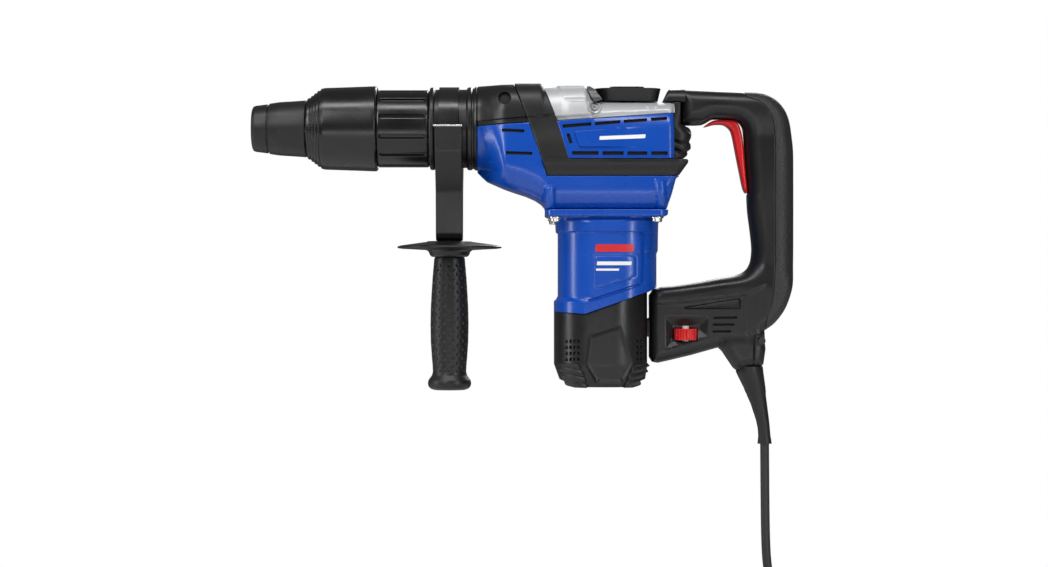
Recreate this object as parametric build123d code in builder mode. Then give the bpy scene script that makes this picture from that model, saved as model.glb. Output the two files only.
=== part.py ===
"""Rotary hammer with a vertical motor, D-handle, side handle and supply cord (millimetres).

Frame: X along the spindle (nose towards -X), Z up, origin at the middle of the D-handle grip.
"""
import os
from math import acos, cos, pi, radians, sin, tan

from build123d import *

os.makedirs("parts", exist_ok=True)

# --- spindle line ---
spindle_z = 62.5
nose_x = -455.0
tool_bore_r = 9.02
tool_bore_len = 112.0
cylinder_r = 14.0
cylinder_wall = 3.5
sleeve_travel = 8.0

# --- upper housing ---
front_x = -257.4
rear_x = -86.7
cover_t = 3.0
casting_t = 4.0
flange_z = -9.7

# --- motor ---
motor_x = -143.7
motor_len, motor_wid, motor_corner = 87.5, 94.0, 38.0
cap_x, cap_len, cap_wid, cap_corner = -149.5, 81.4, 90.0, 34.0
cap_bottom_z = -163.0
armature_r = 23.5
stack_top, stack_bottom = -30.0, -78.0

# --- gears ---
gear_module = 1.25
pinion_teeth, crank_teeth, layshaft_teeth = 8, 33, 45
bevel_module = 2.0
bevel_pinion_teeth, bevel_ring_teeth = 9, 26
crank_throw = 13.0
rod_length = 55.0
crank_x = motor_x + (pinion_teeth + crank_teeth) * gear_module / 2
layshaft_x = motor_x - (pinion_teeth + layshaft_teeth) * gear_module / 2
wrist_x = crank_x + crank_throw - rod_length
shaft_clearance = 0.03

# --- handles ---
handle_half = 20.0
handle_wall = 3.0
pivot = (-92.0, -112.0)
side_x = -282.0
strap_r = 34.3

# --- cord ---
cord_d = 8.0
floor_z = -370.0
cord_exit = (-4.85, 0.0, -214.3)
coil_centre = (-49.5, -42.0)
coil_mean_r = 46.0
coil_half_w, coil_h = 16.0, 30.0
plug_z = floor_z + 18.4

SPINDLE = Plane(origin=(0, 0, spindle_z), x_dir=(1, 0, 0), z_dir=(0, -1, 0))


def turned(profile, origin=(0, 0, spindle_z), along=(1, 0, 0), out=(0, 0, 1)):
    """Solid of revolution from (station, radius) points about a line through origin."""
    normal = Vector(*along).cross(Vector(*out))
    plane = Plane(origin=origin, x_dir=along, z_dir=normal)
    with BuildPart() as body:
        with BuildSketch(plane):
            with BuildLine():
                Polyline(*profile, close=True)
            make_face()
        revolve(axis=Axis(origin, along))
    return body.part


def upright(profile, x, y=0.0):
    """Solid of revolution about a vertical line, from (z, radius) points."""
    return turned(profile, (x, y, 0), (0, 0, 1), (1, 0, 0))


def side_region(points, half=70.0, corner=0.0):
    """Prism over an outline drawn in the XZ plane."""
    with BuildPart() as body:
        with BuildSketch(Plane.XZ) as outline:
            with BuildLine():
                Polyline(*points, close=True)
            make_face()
            if corner:
                fillet(outline.vertices(), corner)
        extrude(amount=half, both=True)
    return body.part


def gear_outline(teeth, module, share=0.8, height=0.8, pressure=20.0):
    """Points of an involute spur gear, one tooth centred on the first axis."""
    pitch_r = teeth * module / 2
    base_r = pitch_r * cos(radians(pressure))
    root_r, tip_r = pitch_r - 1.15 * module, pitch_r + height * module
    half = pi / 2 / teeth * share + tan(radians(pressure)) - radians(pressure)

    def flank(r):
        a = acos(base_r / r) if r > base_r else 0.0
        return half - (tan(a) - a)

    start = max(root_r, base_r)
    radii = [root_r] + [start + (tip_r - start) * i / 4 for i in range(5)]
    radii = sorted(set(round(r, 6) for r in radii))
    points = []
    for k in range(teeth):
        centre = 2 * pi * k / teeth
        for r in radii:
            points.append((r * cos(centre - flank(r)), r * sin(centre - flank(r))))
        for r in reversed(radii):
            points.append((r * cos(centre + flank(r)), r * sin(centre + flank(r))))
    return points


def spur_gear(teeth, x, z, height, bore_r, turn=0.0):
    with BuildPart() as body:
        with BuildSketch(Plane(origin=(x, 0, z))):
            with BuildLine():
                Polyline(*gear_outline(teeth, gear_module), close=True)
            make_face()
            Circle(bore_r, mode=Mode.SUBTRACT)
        extrude(amount=height)
    return body.part.rotate(Axis((x, 0, 0), (0, 0, 1)), turn)


def body_section(station, z_low, z_high, half_low, half_high, r_low, r_high, inset):
    """Rounded trapezium section of the upper housing."""
    with BuildSketch(Plane(origin=(station, 0, 0), x_dir=(0, 1, 0), z_dir=(1, 0, 0))) as section:
        with BuildLine():
            Polyline((-half_low + inset, z_low + inset), (half_low - inset, z_low + inset),
                     (half_high - inset, z_high - inset), (-half_high + inset,
                                                           z_high - inset), close=True)
        make_face()
        fillet(section.vertices().group_by(Axis.Y)[0], r_low - inset)
        fillet(section.vertices().group_by(Axis.Y)[-1], r_high - inset)
    return section.sketch


def upper_envelope(inset=0.0, front=front_x, rear=rear_x):
    """Outer form of the upper housing, drawn in by inset."""
    stations = [body_section(front, 25.2, 99.4, 37.2, 37.1, 36.9, 36.9, inset),
                body_section(-236.0, 9.6, 100.4, 43.0, 38.5, 33.0, 33.0, inset),
                body_section(-208.0, -1.5, 100.8, 49.0, 41.0, 24.0, 28.0, inset)]
    rear_stations = [stations[-1],
                     body_section(-192.0, flange_z, 99.4, 51.0, 42.0, 17.0, 26.0, inset),
                     body_section(rear, flange_z, 99.0, 47.0, 40.0, 17.0, 24.0, inset)]
    with BuildPart() as body:
        loft(stations)
        loft(rear_stations, ruled=True)
    return body.part


# regions of the upper housing in side view, sharing their corners
seam_top, seam_mid, seam_bend, seam_low = (-226.8, 110.0), (-213.4, 66.4), (-201.0, 33.0), (-196.5, 19.4)
back_top, back_mid, back_bend = (-202.0, 110.0), (-188.6, 67.8), (-178.0, 33.0)
edge_low, edge_band, edge_mid = (-80.0, 19.4), (-80.0, 33.0), (-80.0, 75.3)
front_upper = side_region([(-300, 110), seam_top, seam_mid, (front_x - 5, 63.2)])
front_lower = side_region([(front_x - 5, 63.2), seam_mid, seam_bend, seam_low, edge_low, (-80.0, -15.0),
                           (-265.0, -15.0), (-270.0, 40.0)])
strap_region = side_region([seam_top, seam_mid, seam_bend, seam_low, edge_low, edge_band, back_bend,
                            back_mid, back_top])
silver_region = side_region([back_top, back_mid, edge_mid, (-80.0, 110.0)])
side_region_rear = side_region([back_mid, back_bend, edge_band, edge_mid])
shelf_cut = side_region([(-163.0, 87.4), (-157.0, 86.4), (-80.0, 84.0), (-80.0, 112), (-163.0, 112)])
under_cut = side_region([(-82.0, 19.4), (-86.0, 8.0), (-93.0, flange_z), (-93.0, -20), (-70, -20),
                         (-70, 19.4)])

cavity_region = side_region([(-260, 110), (-260, -12), (-88, -12), (-88, 78), (-150, 81.5), (-157, 83),
                             (-164, 84), (-168, 110)])

outer = upper_envelope()
proud = upper_envelope(-0.8, front_x, rear_x)
inner = upper_envelope(cover_t, front_x - 0.01, rear_x + 0.01)

with BuildPart() as front_cover:
    add(outer)
    add(front_upper, mode=Mode.INTERSECT)
    add(inner, mode=Mode.SUBTRACT)
    with Locations(Location((-226, -34, 83), (90, 0, 0))):
        Cylinder(6.8, 16, mode=Mode.SUBTRACT)

with BuildPart() as lower_cover:
    add(outer)
    add(front_lower, mode=Mode.INTERSECT)
    add(inner, mode=Mode.SUBTRACT)
    add(under_cut, mode=Mode.SUBTRACT)
    with BuildSketch(Plane.XZ):
        with Locations(Location((-227, 58.0), -3), Location((-219, 38.5), -3)):
            SlotOverall(20, 3.2)
    extrude(amount=70, both=True, mode=Mode.SUBTRACT)
    with BuildSketch(Plane.XY.offset(flange_z)):
        with Locations((motor_x, 0)):
            RectangleRounded(76, 82, 34)
    extrude(amount=10, mode=Mode.SUBTRACT)

with BuildPart() as bumper:
    add(proud)
    add(strap_region, mode=Mode.INTERSECT)
    add(inner, mode=Mode.SUBTRACT)

with BuildPart() as side_skin:
    add(outer)
    add(side_region_rear, mode=Mode.INTERSECT)
    add(inner, mode=Mode.SUBTRACT)
    with BuildSketch(Plane.XZ):
        for row_z, low, high in ((63.5, -183.0, -93.5), (38.5, -175.0, -93.5)):
            pitch = (high - low) / 4
            with Locations(*[Location((low + pitch * (i + 0.5),
                                       row_z + (3.2 * i / 4 if row_z > 50 else 0)), 4)
                             for i in range(4)]):
                SlotOverall(pitch - 3, 3.4)
    extrude(amount=70, both=True, mode=Mode.SUBTRACT)

with BuildPart() as crown:
    add(outer)
    add(silver_region, mode=Mode.INTERSECT)
with BuildPart() as cavity:
    add(upper_envelope(cover_t + casting_t, front_x + 12, rear_x - 8))
    add(cavity_region, mode=Mode.INTERSECT)
with BuildPart() as gear_housing:
    add(inner)
    add(crown.part)
    add(shelf_cut, mode=Mode.SUBTRACT)
    add(under_cut, mode=Mode.SUBTRACT)
    add(cavity.part, mode=Mode.SUBTRACT)
    # barrel neck that carries the front spindle bearing and the side handle
    add(turned([(-300, 0), (front_x + 13, 0), (front_x + 13, 31.0), (-300, 31.0)]))
    with Locations(Location((-278, 0, spindle_z), (0, 90, 0))):
        Cylinder(24.0, 90, mode=Mode.SUBTRACT)
    # bearing web behind the cylinder
    with BuildSketch(Plane(origin=(-164.0, 0, 0), x_dir=(0, 1, 0), z_dir=(1, 0, 0))):
        with Locations((0, spindle_z)):
            Circle(27.0)
            Rectangle(76, 12)
    extrude(amount=8)
    with Locations(Location((-160, 0, spindle_z), (0, 90, 0))):
        Cylinder(21.5, 10, mode=Mode.SUBTRACT)
    # shaft bosses in the floor
    for boss_x, boss_r in ((motor_x, 16.0), (crank_x, 15.0), (layshaft_x, 14.0)):
        with Locations((boss_x, 0, 2.2)):
            Cylinder(boss_r, 17.0)
    with Locations((motor_x, 0, 2.2)):
        Cylinder(13.0, 20, mode=Mode.SUBTRACT)
    for seat_x, seat_r in ((crank_x, 12.0), (layshaft_x, 11.0)):
        with Locations((seat_x, 0, 6.2)):
            Cylinder(seat_r, 9.01, mode=Mode.SUBTRACT)
    # posts under the bearing bridge
    with Locations(*[(x, y, 15.0) for x in (-204.0, -110.0) for y in (-29.0, 29.0)]):
        Cylinder(5.0, 22.0)
    with Locations(*[(-110.0, y, 2.0) for y in (-29.0, 29.0)]):
        Cylinder(5.0, 12.0)
    with Locations((-126, 0, 84)):
        Cylinder(7.05, 20, mode=Mode.SUBTRACT)
    # counterbored holes of the crown screws
    for x in (-155.8, -106.5):
        with Locations(Location((x, -36, 80.0), (90, 0, 0))):
            Cylinder(2.6, 14, mode=Mode.SUBTRACT)
        with Locations(Location((x, -44, 80.0), (90, 0, 0))):
            Cylinder(4.7, 10, mode=Mode.SUBTRACT)

side_left = side_skin.part & Pos(-130, -50, 50) * Box(200, 100, 200)
side_right = side_skin.part & Pos(-130, 50, 50) * Box(200, 100, 200)

# --- nose ---
with BuildPart() as neck_sleeve:
    add(turned([(-299, 31.05), (-298.5, 36.0), (-294.5, 36.0), (-294.2, strap_r), (-266, strap_r),
                (-265.6, 36.0), (-261.4, 36.0), (-260.8, 35.4), (front_x - 0.05, 35.4),
                (front_x - 0.05, 31.05)]))
with BuildPart() as front_ring:
    add(turned([(-345, 27.0), (-345, 32.6), (-343.5, 33.9), (-300.5, 33.9), (-299.05, 33.0),
                (-299.05, 31.1), (-300.05, 31.1), (-300.05, 24.2), (-302.5, 24.2), (-302.5, 27.0)]))
    with BuildSketch(SPINDLE):
        with Locations((-322.5, 33.4)):
            Rectangle(43, 2.4)
    ribs = extrude(amount=1.1, both=True, mode=Mode.PRIVATE)
    for k in range(12):
        add(ribs.rotate(Axis((0, 0, spindle_z), (1, 0, 0)), 15 + 30 * k), mode=Mode.SUBTRACT)

with BuildPart() as tool_holder:
    add(turned([(-440.5, tool_bore_r), (-440.5, 16.0), (-437, 19.0), (-346, 19.0), (-346, 21.0),
                (-309, 21.0), (-309, 17.6), (-331, 17.6), (-331, 13.6), (-338.5, 13.6),
                (-338.5, tool_bore_r)]))
with BuildPart() as spindle_tube:
    add(turned([(-308.5, 14.2), (-308.5, 17.5), (-156, 17.5), (-156, cylinder_r), (-270.5, cylinder_r),
                (-270.5, 14.2)]))
with BuildPart() as dust_cap:
    add(turned([(-440.55, tool_bore_r + 0.6), (-451, tool_bore_r + 0.6), (nose_x, 12.0), (nose_x, 18.5),
                (-453.4, 20.9), (-450.0, 22.0), (-441.2, 22.5), (-440.6, 21.9), (-440.0, 22.6),
                (-408.5, 24.6), (-407.4, 24.0), (-407.4, 19.05), (-436.95, 19.05), (-440.55, 16.05)]))
with BuildPart() as locking_sleeve:
    add(turned([(-406.6, 19.1), (-406.6, 25.6), (-405.8, 26.4), (-403.6, 26.6), (-403.2, 28.0),
                (-400.8, 28.4), (-400.4, 30.2), (-397.8, 30.6), (-397.4, 32.4), (-394.6, 32.8),
                (-393.4, 35.2), (-391.5, 35.8), (-347.5, 37.3), (-345.6, 37.4), (-345.0, 36.8),
                (-345.0, 34.4), (-388, 34.0), (-390, 30.0), (-390, 19.1)]))
with BuildPart() as bevel_tooth:
    tooth_ends = []
    for r in (27.4, 19.8):
        s = r / 26
        pitch_w = 2 * pi * r / bevel_ring_teeth
        low_x, high_x = layshaft_x - 9 * s - 2.9 * s, layshaft_x - 9 * s + 1.5 * s
        with BuildSketch(Plane(origin=(0, 0, spindle_z - r), x_dir=(1, 0, 0),
                               z_dir=(0, 0, -1))) as tooth_end:
            with BuildLine():
                Polyline((low_x, -0.33 * pitch_w), (high_x, -0.13 * pitch_w), (high_x, 0.13 * pitch_w),
                         (low_x, 0.33 * pitch_w), close=True)
            make_face()
        tooth_ends.append(tooth_end.sketch)
    loft(tooth_ends)
with BuildPart() as bevel_ring:
    ring_back = layshaft_x - 11.9
    add(turned([(ring_back - 5, 17.55), (ring_back - 5, 28.0), (ring_back, 28.0), (ring_back, 27.6),
                (ring_back + 1.9, 19.6), (ring_back + 1.9, 17.55)]))
    for k in range(bevel_ring_teeth):
        angle = 360 * (k + 0.5) / bevel_ring_teeth
        add(bevel_tooth.part.rotate(Axis((0, 0, spindle_z), (1, 0, 0)), angle))
with BuildPart() as spindle_bearings:
    add(turned([(-163.8, 17.53), (-163.8, 21.48), (-156.3, 21.48), (-156.3, 17.53)]))
    add(turned([(-298.5, 17.53), (-298.5, 23.95), (-285, 23.95), (-285, 17.53)]))
with BuildPart() as impact_bolt:
    add(turned([(-337, 0), (-337, 7.5), (-335, 9.0), (-306, 9.0), (-304, 13.95), (-272, 13.95),
                (-270, 12.5), (-270, 0)]))
with BuildPart() as striker:
    add(turned([(-246, 0), (-246, 8.0), (-244, 8.6), (-238, 8.6), (-237, 13.95), (-213, 13.95),
                (-211.5, 12.6), (-211.5, 0)]))
with BuildPart() as piston:
    add(turned([(wrist_x - 16, 0), (wrist_x - 16, 13.0), (wrist_x - 15, 13.96), (wrist_x + 12, 13.96),
                (wrist_x + 12, 10.5), (wrist_x - 7.5, 10.5), (wrist_x - 7.5, 0)]))
    with Locations((wrist_x, 0, spindle_z)):
        Cylinder(3.0, 26.0)
with BuildPart() as con_rod:
    with BuildSketch(Plane.XY.offset(spindle_z - 5)):
        with Locations((wrist_x, 0)):
            Circle(5.8)
        with Locations((crank_x + crank_throw, 0)):
            Circle(9.0)
        with Locations(((wrist_x + crank_x + crank_throw) / 2, 0)):
            Rectangle(rod_length, 7.2)
    extrude(amount=10)
    with Locations((wrist_x, 0, spindle_z)):
        Cylinder(3.0 + shaft_clearance, 30, mode=Mode.SUBTRACT)
    with Locations((crank_x + crank_throw, 0, spindle_z)):
        Cylinder(5.5, 30, mode=Mode.SUBTRACT)

# --- gear train ---
with BuildPart() as crank_shaft:
    add(upright([(1.75, 0), (1.75, 6.0), (13.0, 6.0), (13.0, 8.0), (24.4, 8.0), (24.4, 6.0), (42.0, 6.0),
                 (42.0, 19.5), (50.0, 19.5), (50.0, 0)], crank_x))
    with Locations((crank_x + crank_throw, 0, 53.5)):
        Cylinder(5.0, 7.0)
crank_gear = spur_gear(crank_teeth, crank_x, 14, 8, 8.0)
with BuildPart() as layshaft:
    add(upright([(1.75, 0), (1.75, 5.0), (13.0, 5.0), (13.0, 7.0), (24.4, 7.0), (24.4, 5.0), (36.5, 5.0),
                 (36.5, 0)], layshaft_x))
    with BuildSketch(Plane(origin=(layshaft_x, 0, 36.5))) as big_end:
        with BuildLine():
            Polyline(*gear_outline(bevel_pinion_teeth, bevel_module, 0.62, 0.7), close=True)
        make_face()
    tip_scale = 20 / 26
    with BuildSketch(Plane(origin=(layshaft_x, 0, 42.5))) as small_end:
        with BuildLine():
            Polyline(*[(x * tip_scale, y * tip_scale)
                       for x, y in gear_outline(bevel_pinion_teeth, bevel_module, 0.62, 0.7)], close=True)
        make_face()
    loft([big_end.sketch, small_end.sketch], ruled=True)
layshaft.part = layshaft.part.rotate(Axis((layshaft_x, 0, 0), (0, 0, 1)), 180)
layshaft_gear = spur_gear(layshaft_teeth, layshaft_x, 14, 8, 7.0, 180 / layshaft_teeth)
with BuildPart() as shaft_bearings:
    for x, bore, rim in ((crank_x, 6.03, 11.98), (layshaft_x, 5.03, 10.98)):
        add(upright([(1.8, bore), (1.8, rim), (9.8, rim), (9.8, bore)], x))
        add(upright([(26, bore), (26, rim), (33, rim), (33, bore)], x))
    add(upright([(-5.5, 4.03), (-5.5, 12.98), (4.5, 12.98), (4.5, 4.03)], motor_x))
    add(upright([(-140, 4.03), (-140, 10.98), (-133, 10.98), (-133, 4.03)], motor_x))
    add(spindle_bearings.part)
with BuildPart() as gear_bridge:
    with BuildSketch(Plane.XY.offset(26.05)):
        with Locations((-161, 0)):
            RectangleRounded(112, 73, 9)
        with Locations((layshaft_x, 0)):
            Circle(11.0, mode=Mode.SUBTRACT)
        with Locations((crank_x, 0)):
            Circle(12.0, mode=Mode.SUBTRACT)
        with Locations((motor_x, 0)):
            Circle(5.5, mode=Mode.SUBTRACT)
    extrude(amount=6.9)

# --- motor ---
with BuildPart() as armature_shaft:
    add(upright([(-141, 0), (-141, 4.0), (-131, 4.0), (-131, 6.0), (-12, 6.0), (-12, 4.0), (12.5, 4.0),
                 (12.5, 0)], motor_x))
    with BuildSketch(Plane(origin=(motor_x, 0, 12.5))):
        with BuildLine():
            Polyline(*gear_outline(pinion_teeth, gear_module), close=True)
        make_face()
    extrude(amount=11)
with BuildPart() as armature_core:
    with BuildSketch(Plane.XY.offset(stack_bottom)):
        with Locations((motor_x, 0)):
            Circle(armature_r)
            Circle(6.0, mode=Mode.SUBTRACT)
            with PolarLocations(armature_r, 12):
                Rectangle(6.0, 2.2, mode=Mode.SUBTRACT)
    extrude(amount=stack_top - stack_bottom)
with BuildPart() as armature_winding:
    add(upright([(stack_top, 6.05), (stack_top, 20.5), (-24, 19), (-21, 14), (-21, 6.05)], motor_x))
    add(upright([(stack_bottom, 6.05), (stack_bottom, 20.5), (-85, 19), (-89, 14), (-89, 6.05)], motor_x))
with BuildPart() as commutator:
    with BuildSketch(Plane.XY.offset(-114)):
        with Locations((motor_x, 0)):
            Circle(13.0)
            Circle(6.0, mode=Mode.SUBTRACT)
            with PolarLocations(13.0, 16):
                Rectangle(1.6, 0.8, mode=Mode.SUBTRACT)
    extrude(amount=20)
with BuildPart() as fan:
    add(upright([(-20, 6.0), (-20, 9.5), (-16.8, 9.5), (-16.8, 34.0), (-15.2, 34.0), (-15.2, 6.0)],
                motor_x))
    for k in range(11):
        with Locations(Location((motor_x, 0, -18.4), (0, 0, 360 * k / 11)) * Location((22, 0, 0),
                                                                                      (0, 0, 25))):
            Box(20, 1.6, 3.4)
with BuildPart() as stator_core:
    with BuildSketch(Plane.XY.offset(stack_bottom)):
        with Locations((motor_x, 0)):
            RectangleRounded(76, 82, 30)
            Circle(24.2, mode=Mode.SUBTRACT)
            with Locations((0, 31), (0, -31)):
                RectangleRounded(40, 7, 2, mode=Mode.SUBTRACT)
    extrude(amount=stack_top - stack_bottom)
with BuildPart() as field_coils:
    for side in (-1, 1):
        for low, high in ((stack_top + 0.02, -23.0), (-85.0, stack_bottom - 0.02)):
            with BuildSketch(Plane.XY.offset(low)):
                with Locations((motor_x, 31 * side)):
                    RectangleRounded(38, 7, 2)
            extrude(amount=high - low)
with BuildPart() as brush_holders:
    for side in (-1, 1):
        with Locations((motor_x, side * 25.5, -104)):
            Box(13, 20, 16)
            Box(8.1, 22, 12.1, mode=Mode.SUBTRACT)
with BuildPart() as carbon_brushes:
    for side in (-1, 1):
        with Locations((motor_x, side * 22.3, -104)):
            Box(8.0, 18, 12)

with BuildPart() as motor_housing:
    with BuildSketch(Plane.XY.offset(-14.7)):
        with Locations((-145.0, 0)):
            RectangleRounded(104, 100, 30)
    extrude(amount=14.65 + flange_z)
    with BuildSketch(Plane.XY.offset(-110)):
        with Locations((motor_x, 0)):
            RectangleRounded(motor_len, motor_wid, motor_corner)
    extrude(amount=95.4)
    with BuildSketch(Plane.XY.offset(-28.2)):
        with Locations((-144.1, 0)):
            RectangleRounded(89.6, 96, motor_corner + 1)
    extrude(amount=9)
    add(side_region([(-200, -97.6), (-190.0, -97.6), (-162.8, -99.0), (-100.3, -76.0), (-90, -76),
                     (-90, -120), (-200, -120)]), mode=Mode.SUBTRACT)
    with BuildSketch(Plane.XY.offset(-120)):
        with Locations((motor_x, 0)):
            RectangleRounded(motor_len - 9, motor_wid - 9, motor_corner - 4.5)
    extrude(amount=111, mode=Mode.SUBTRACT)
    for x in (-191.2, -98.8):
        for y in (-42.0, 42.0):
            with Locations((x, y, -12.2)):
                Cylinder(2.6, 12, mode=Mode.SUBTRACT)

with BuildPart() as motor_screws:
    for x in (-191.2, -98.8):
        for y in (-42.0, 42.0):
            with Locations((x, y, -16.6)):
                Cylinder(4.6, 3.6)
            with Locations((x, y, -12.0)):
                Cylinder(2.5, 5.6)

cap_outline = side_region([(-200, -97.7), (-190.0, -97.7), (-162.8, -99.1), (-100.2, -76.1), (-95, -76.1),
                           (-95, -170), (-200, -170)])
with BuildPart() as motor_cap:
    with BuildSketch(Plane.XY.offset(-150)):
        with Locations((cap_x, 0)):
            RectangleRounded(cap_len, cap_wid, cap_corner)
    extrude(amount=75)
    with BuildSketch(Plane.XY.offset(-150)) as skirt:
        with Locations((cap_x, 0)):
            RectangleRounded(cap_len - 2, cap_wid - 2, cap_corner - 1)
    extrude(amount=-13, taper=30)
    add(cap_outline, mode=Mode.INTERSECT)
    with BuildSketch(Plane.XY.offset(-146)):
        with Locations((cap_x, 0)):
            RectangleRounded(cap_len - 8, cap_wid - 8, cap_corner - 4)
    extrude(amount=80, mode=Mode.SUBTRACT)
    with BuildSketch(Plane.XY.offset(-146)):
        with Locations((motor_x, 0)):
            Circle(14)
    extrude(amount=14)
    with Locations((motor_x, 0, -135.5)):
        Cylinder(11.0, 9.4, mode=Mode.SUBTRACT)
    with Locations((motor_x, 0, -141)):
        Cylinder(8.0, 4, mode=Mode.SUBTRACT)
    # ventilation grids on both flanks
    with BuildSketch(Plane.XZ):
        with Locations((-175.6, -131.5)):
            with GridLocations(3.4, 5.4, 4, 4):
                Rectangle(2.2, 3.4)
        with Locations((-118.5, -131.5)):
            with GridLocations(3.4, 5.4, 3, 4):
                Rectangle(2.2, 3.4)
    extrude(amount=70, both=True, mode=Mode.SUBTRACT)
    # lug for the handle pivot
    with BuildSketch(Plane.XZ):
        with Locations(pivot):
            Circle(8.0)
        with Locations((-101.5, pivot[1])):
            Rectangle(19, 16)
    extrude(amount=8, both=True)
    with BuildSketch(Plane.XZ):
        with Locations(pivot):
            Circle(4.0 + shaft_clearance)
    extrude(amount=20, both=True, mode=Mode.SUBTRACT)

with BuildPart() as cap_bumper:
    for z, grow in ((-152.5, 0.6), (-156.5, -2.0), (-160.5, -4.8)):
        with BuildSketch(Plane.XY.offset(z - 1.2)):
            with Locations((cap_x, 0)):
                RectangleRounded(cap_len + grow, cap_wid + grow, cap_corner + grow / 2)
                RectangleRounded(cap_len - 26, cap_wid + 10, 3, mode=Mode.SUBTRACT)
        extrude(amount=2.4)
    add(motor_cap.part, mode=Mode.SUBTRACT)

# --- mode selector ---
with BuildPart() as knob_base:
    with BuildSketch(Plane.XY.offset(85.6)):
        with Locations((-124.5, 0)):
            RectangleRounded(50, 44, 12)
    with BuildSketch(Plane.XY.offset(96.6)):
        with Locations((-126.0, 0)):
            RectangleRounded(58, 52, 14)
    loft()
    add(side_region([(-170, 80), (-170, 87.6), (-157, 86.5), (-80, 84.1), (-80, 80)]), mode=Mode.SUBTRACT)
    with Locations((-126, 0, 94)):
        Cylinder(16.4, 14, mode=Mode.SUBTRACT)
        Cylinder(7.3, 30, mode=Mode.SUBTRACT)
with BuildPart() as mode_knob:
    with Locations((-126, 0, 92.6)):
        Cylinder(15.8, 10.0)
    with BuildSketch(Plane.XY.offset(92)):
        with Locations((-126, 0)):
            SlotOverall(30, 11)
            with Locations((9.5, 0)):
                Circle(3.53, mode=Mode.SUBTRACT)
    extrude(amount=7.4)
    with Locations((-126, 0, 80.5)):
        Cylinder(7.0, 15.0)
    with Locations((-116.5, 0, 93)):
        Cylinder(3.53, 12, mode=Mode.SUBTRACT)
with BuildPart() as knob_button:
    with Locations((-116.5, 0, 95.3)):
        Cylinder(3.5, 8.2 - 3.4)
with BuildPart() as top_screws:
    for x in (-155.8, -106.5):
        with Locations(Location((x, -40.6, 80.0), (90, 0, 0))):
            Cylinder(4.6, 3.2)
        with Locations(Location((x, -35, 80.0), (90, 0, 0))):
            Cylinder(2.55, 8.2)

# --- side handle ---
with BuildPart() as clamp_strap:
    with BuildSketch(Plane(origin=(-290.6, 0, 0), x_dir=(0, 1, 0), z_dir=(1, 0, 0))):
        with Locations((0, spindle_z)):
            Circle(strap_r + 2.2)
            Circle(strap_r + 0.04, mode=Mode.SUBTRACT)
        with Locations((0, spindle_z - 40)):
            Rectangle(100, 80, mode=Mode.SUBTRACT)
    extrude(amount=17)
with BuildPart() as clamp_bracket:
    with BuildSketch(Plane(origin=(-293.6, 0, 0), x_dir=(0, 1, 0), z_dir=(1, 0, 0))) as yoke:
        with BuildLine():
            Polyline((-41.5, spindle_z), (-40, 40), (-18, 6), (-13.5, -36), (13.5, -36), (18, 6),
                     (40, 40), (41.5, spindle_z), close=True)
        make_face()
        fillet(yoke.vertices().filter_by(lambda v: -40 < v.Y < 45), 8)
        with Locations((0, spindle_z)):
            Circle(strap_r + 0.04, mode=Mode.SUBTRACT)
    extrude(amount=23.2)
    fillet(clamp_bracket.faces().filter_by(Axis.X).edges().filter_by(Axis.Z, reverse=True), 0.8)
    with Locations((side_x, 0, -10)):
        Cylinder(4.2, 60, mode=Mode.SUBTRACT)
with BuildPart() as clamp_bolt:
    add(upright([(-58, 0), (-58, 4.0), (18, 4.0), (18, 0)], side_x))
with BuildPart() as side_grip_core:
    add(upright([(-36.3, 4.1), (-36.3, 22), (-37.8, 30), (-40.0, 44.0), (-40.6, 45.5), (-41.6, 45.3),
                 (-43.4, 41), (-45.0, 39), (-45.4, 20.5), (-49.5, 15.5), (-50.2, 12.0), (-165.8, 12.0),
                 (-166.8, 10.0), (-166.8, 0), (-60, 0), (-60, 4.1)], side_x))
with BuildPart() as side_grip_sleeve:
    add(upright([(-50.25, 12.0), (-50.25, 15.3), (-56, 14.9), (-70, 15.6), (-90, 16.6), (-110, 16.8),
                 (-130, 16.0), (-146, 15.1), (-153.5, 15.3), (-157, 17.5), (-159.5, 18.9), (-162.5, 19.1),
                 (-165.2, 18.0), (-165.8, 16.6), (-165.8, 12.0)], side_x))

# --- D-handle ---
handle_outer = [(-80.2, 65.4), (-80.2, 96.8), (-55, 96.6), (-21.4, 94.5), (6.0, 90.5), (18.6, 55),
                (20.2, 20), (20.2, -60), (17.6, -82), (8.5, -103), (-4.4, -117.5), (-4.4, -146),
                (-32, -149.8), (-46.0, -129.6), (-96.8, -143.2), (-106.3, -136), (-106.3, -90),
                (-104, -80), (-96.8, -76.4), (-37, -67.2), (-19.0, -55), (-17.0, -40), (-20.5, 4),
                (-24.5, 40), (-26, 58), (-34, 69.5), (-53, 70.6), (-62, 65.2)]


def handle_block(inset, half, corner):
    with BuildPart() as block:
        with BuildSketch(Plane.XZ) as outline:
            with BuildLine():
                Polyline(*handle_outer, close=True)
            make_face()
            for vertex, r in corner.items():
                point = handle_outer[vertex]
                fillet(outline.vertices().sort_by_distance((point[0], point[1], 0))[0], r)
            if inset:
                offset(amount=-inset, kind=Kind.INTERSECTION)
        extrude(amount=half, both=True)
    return block.part


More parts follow.
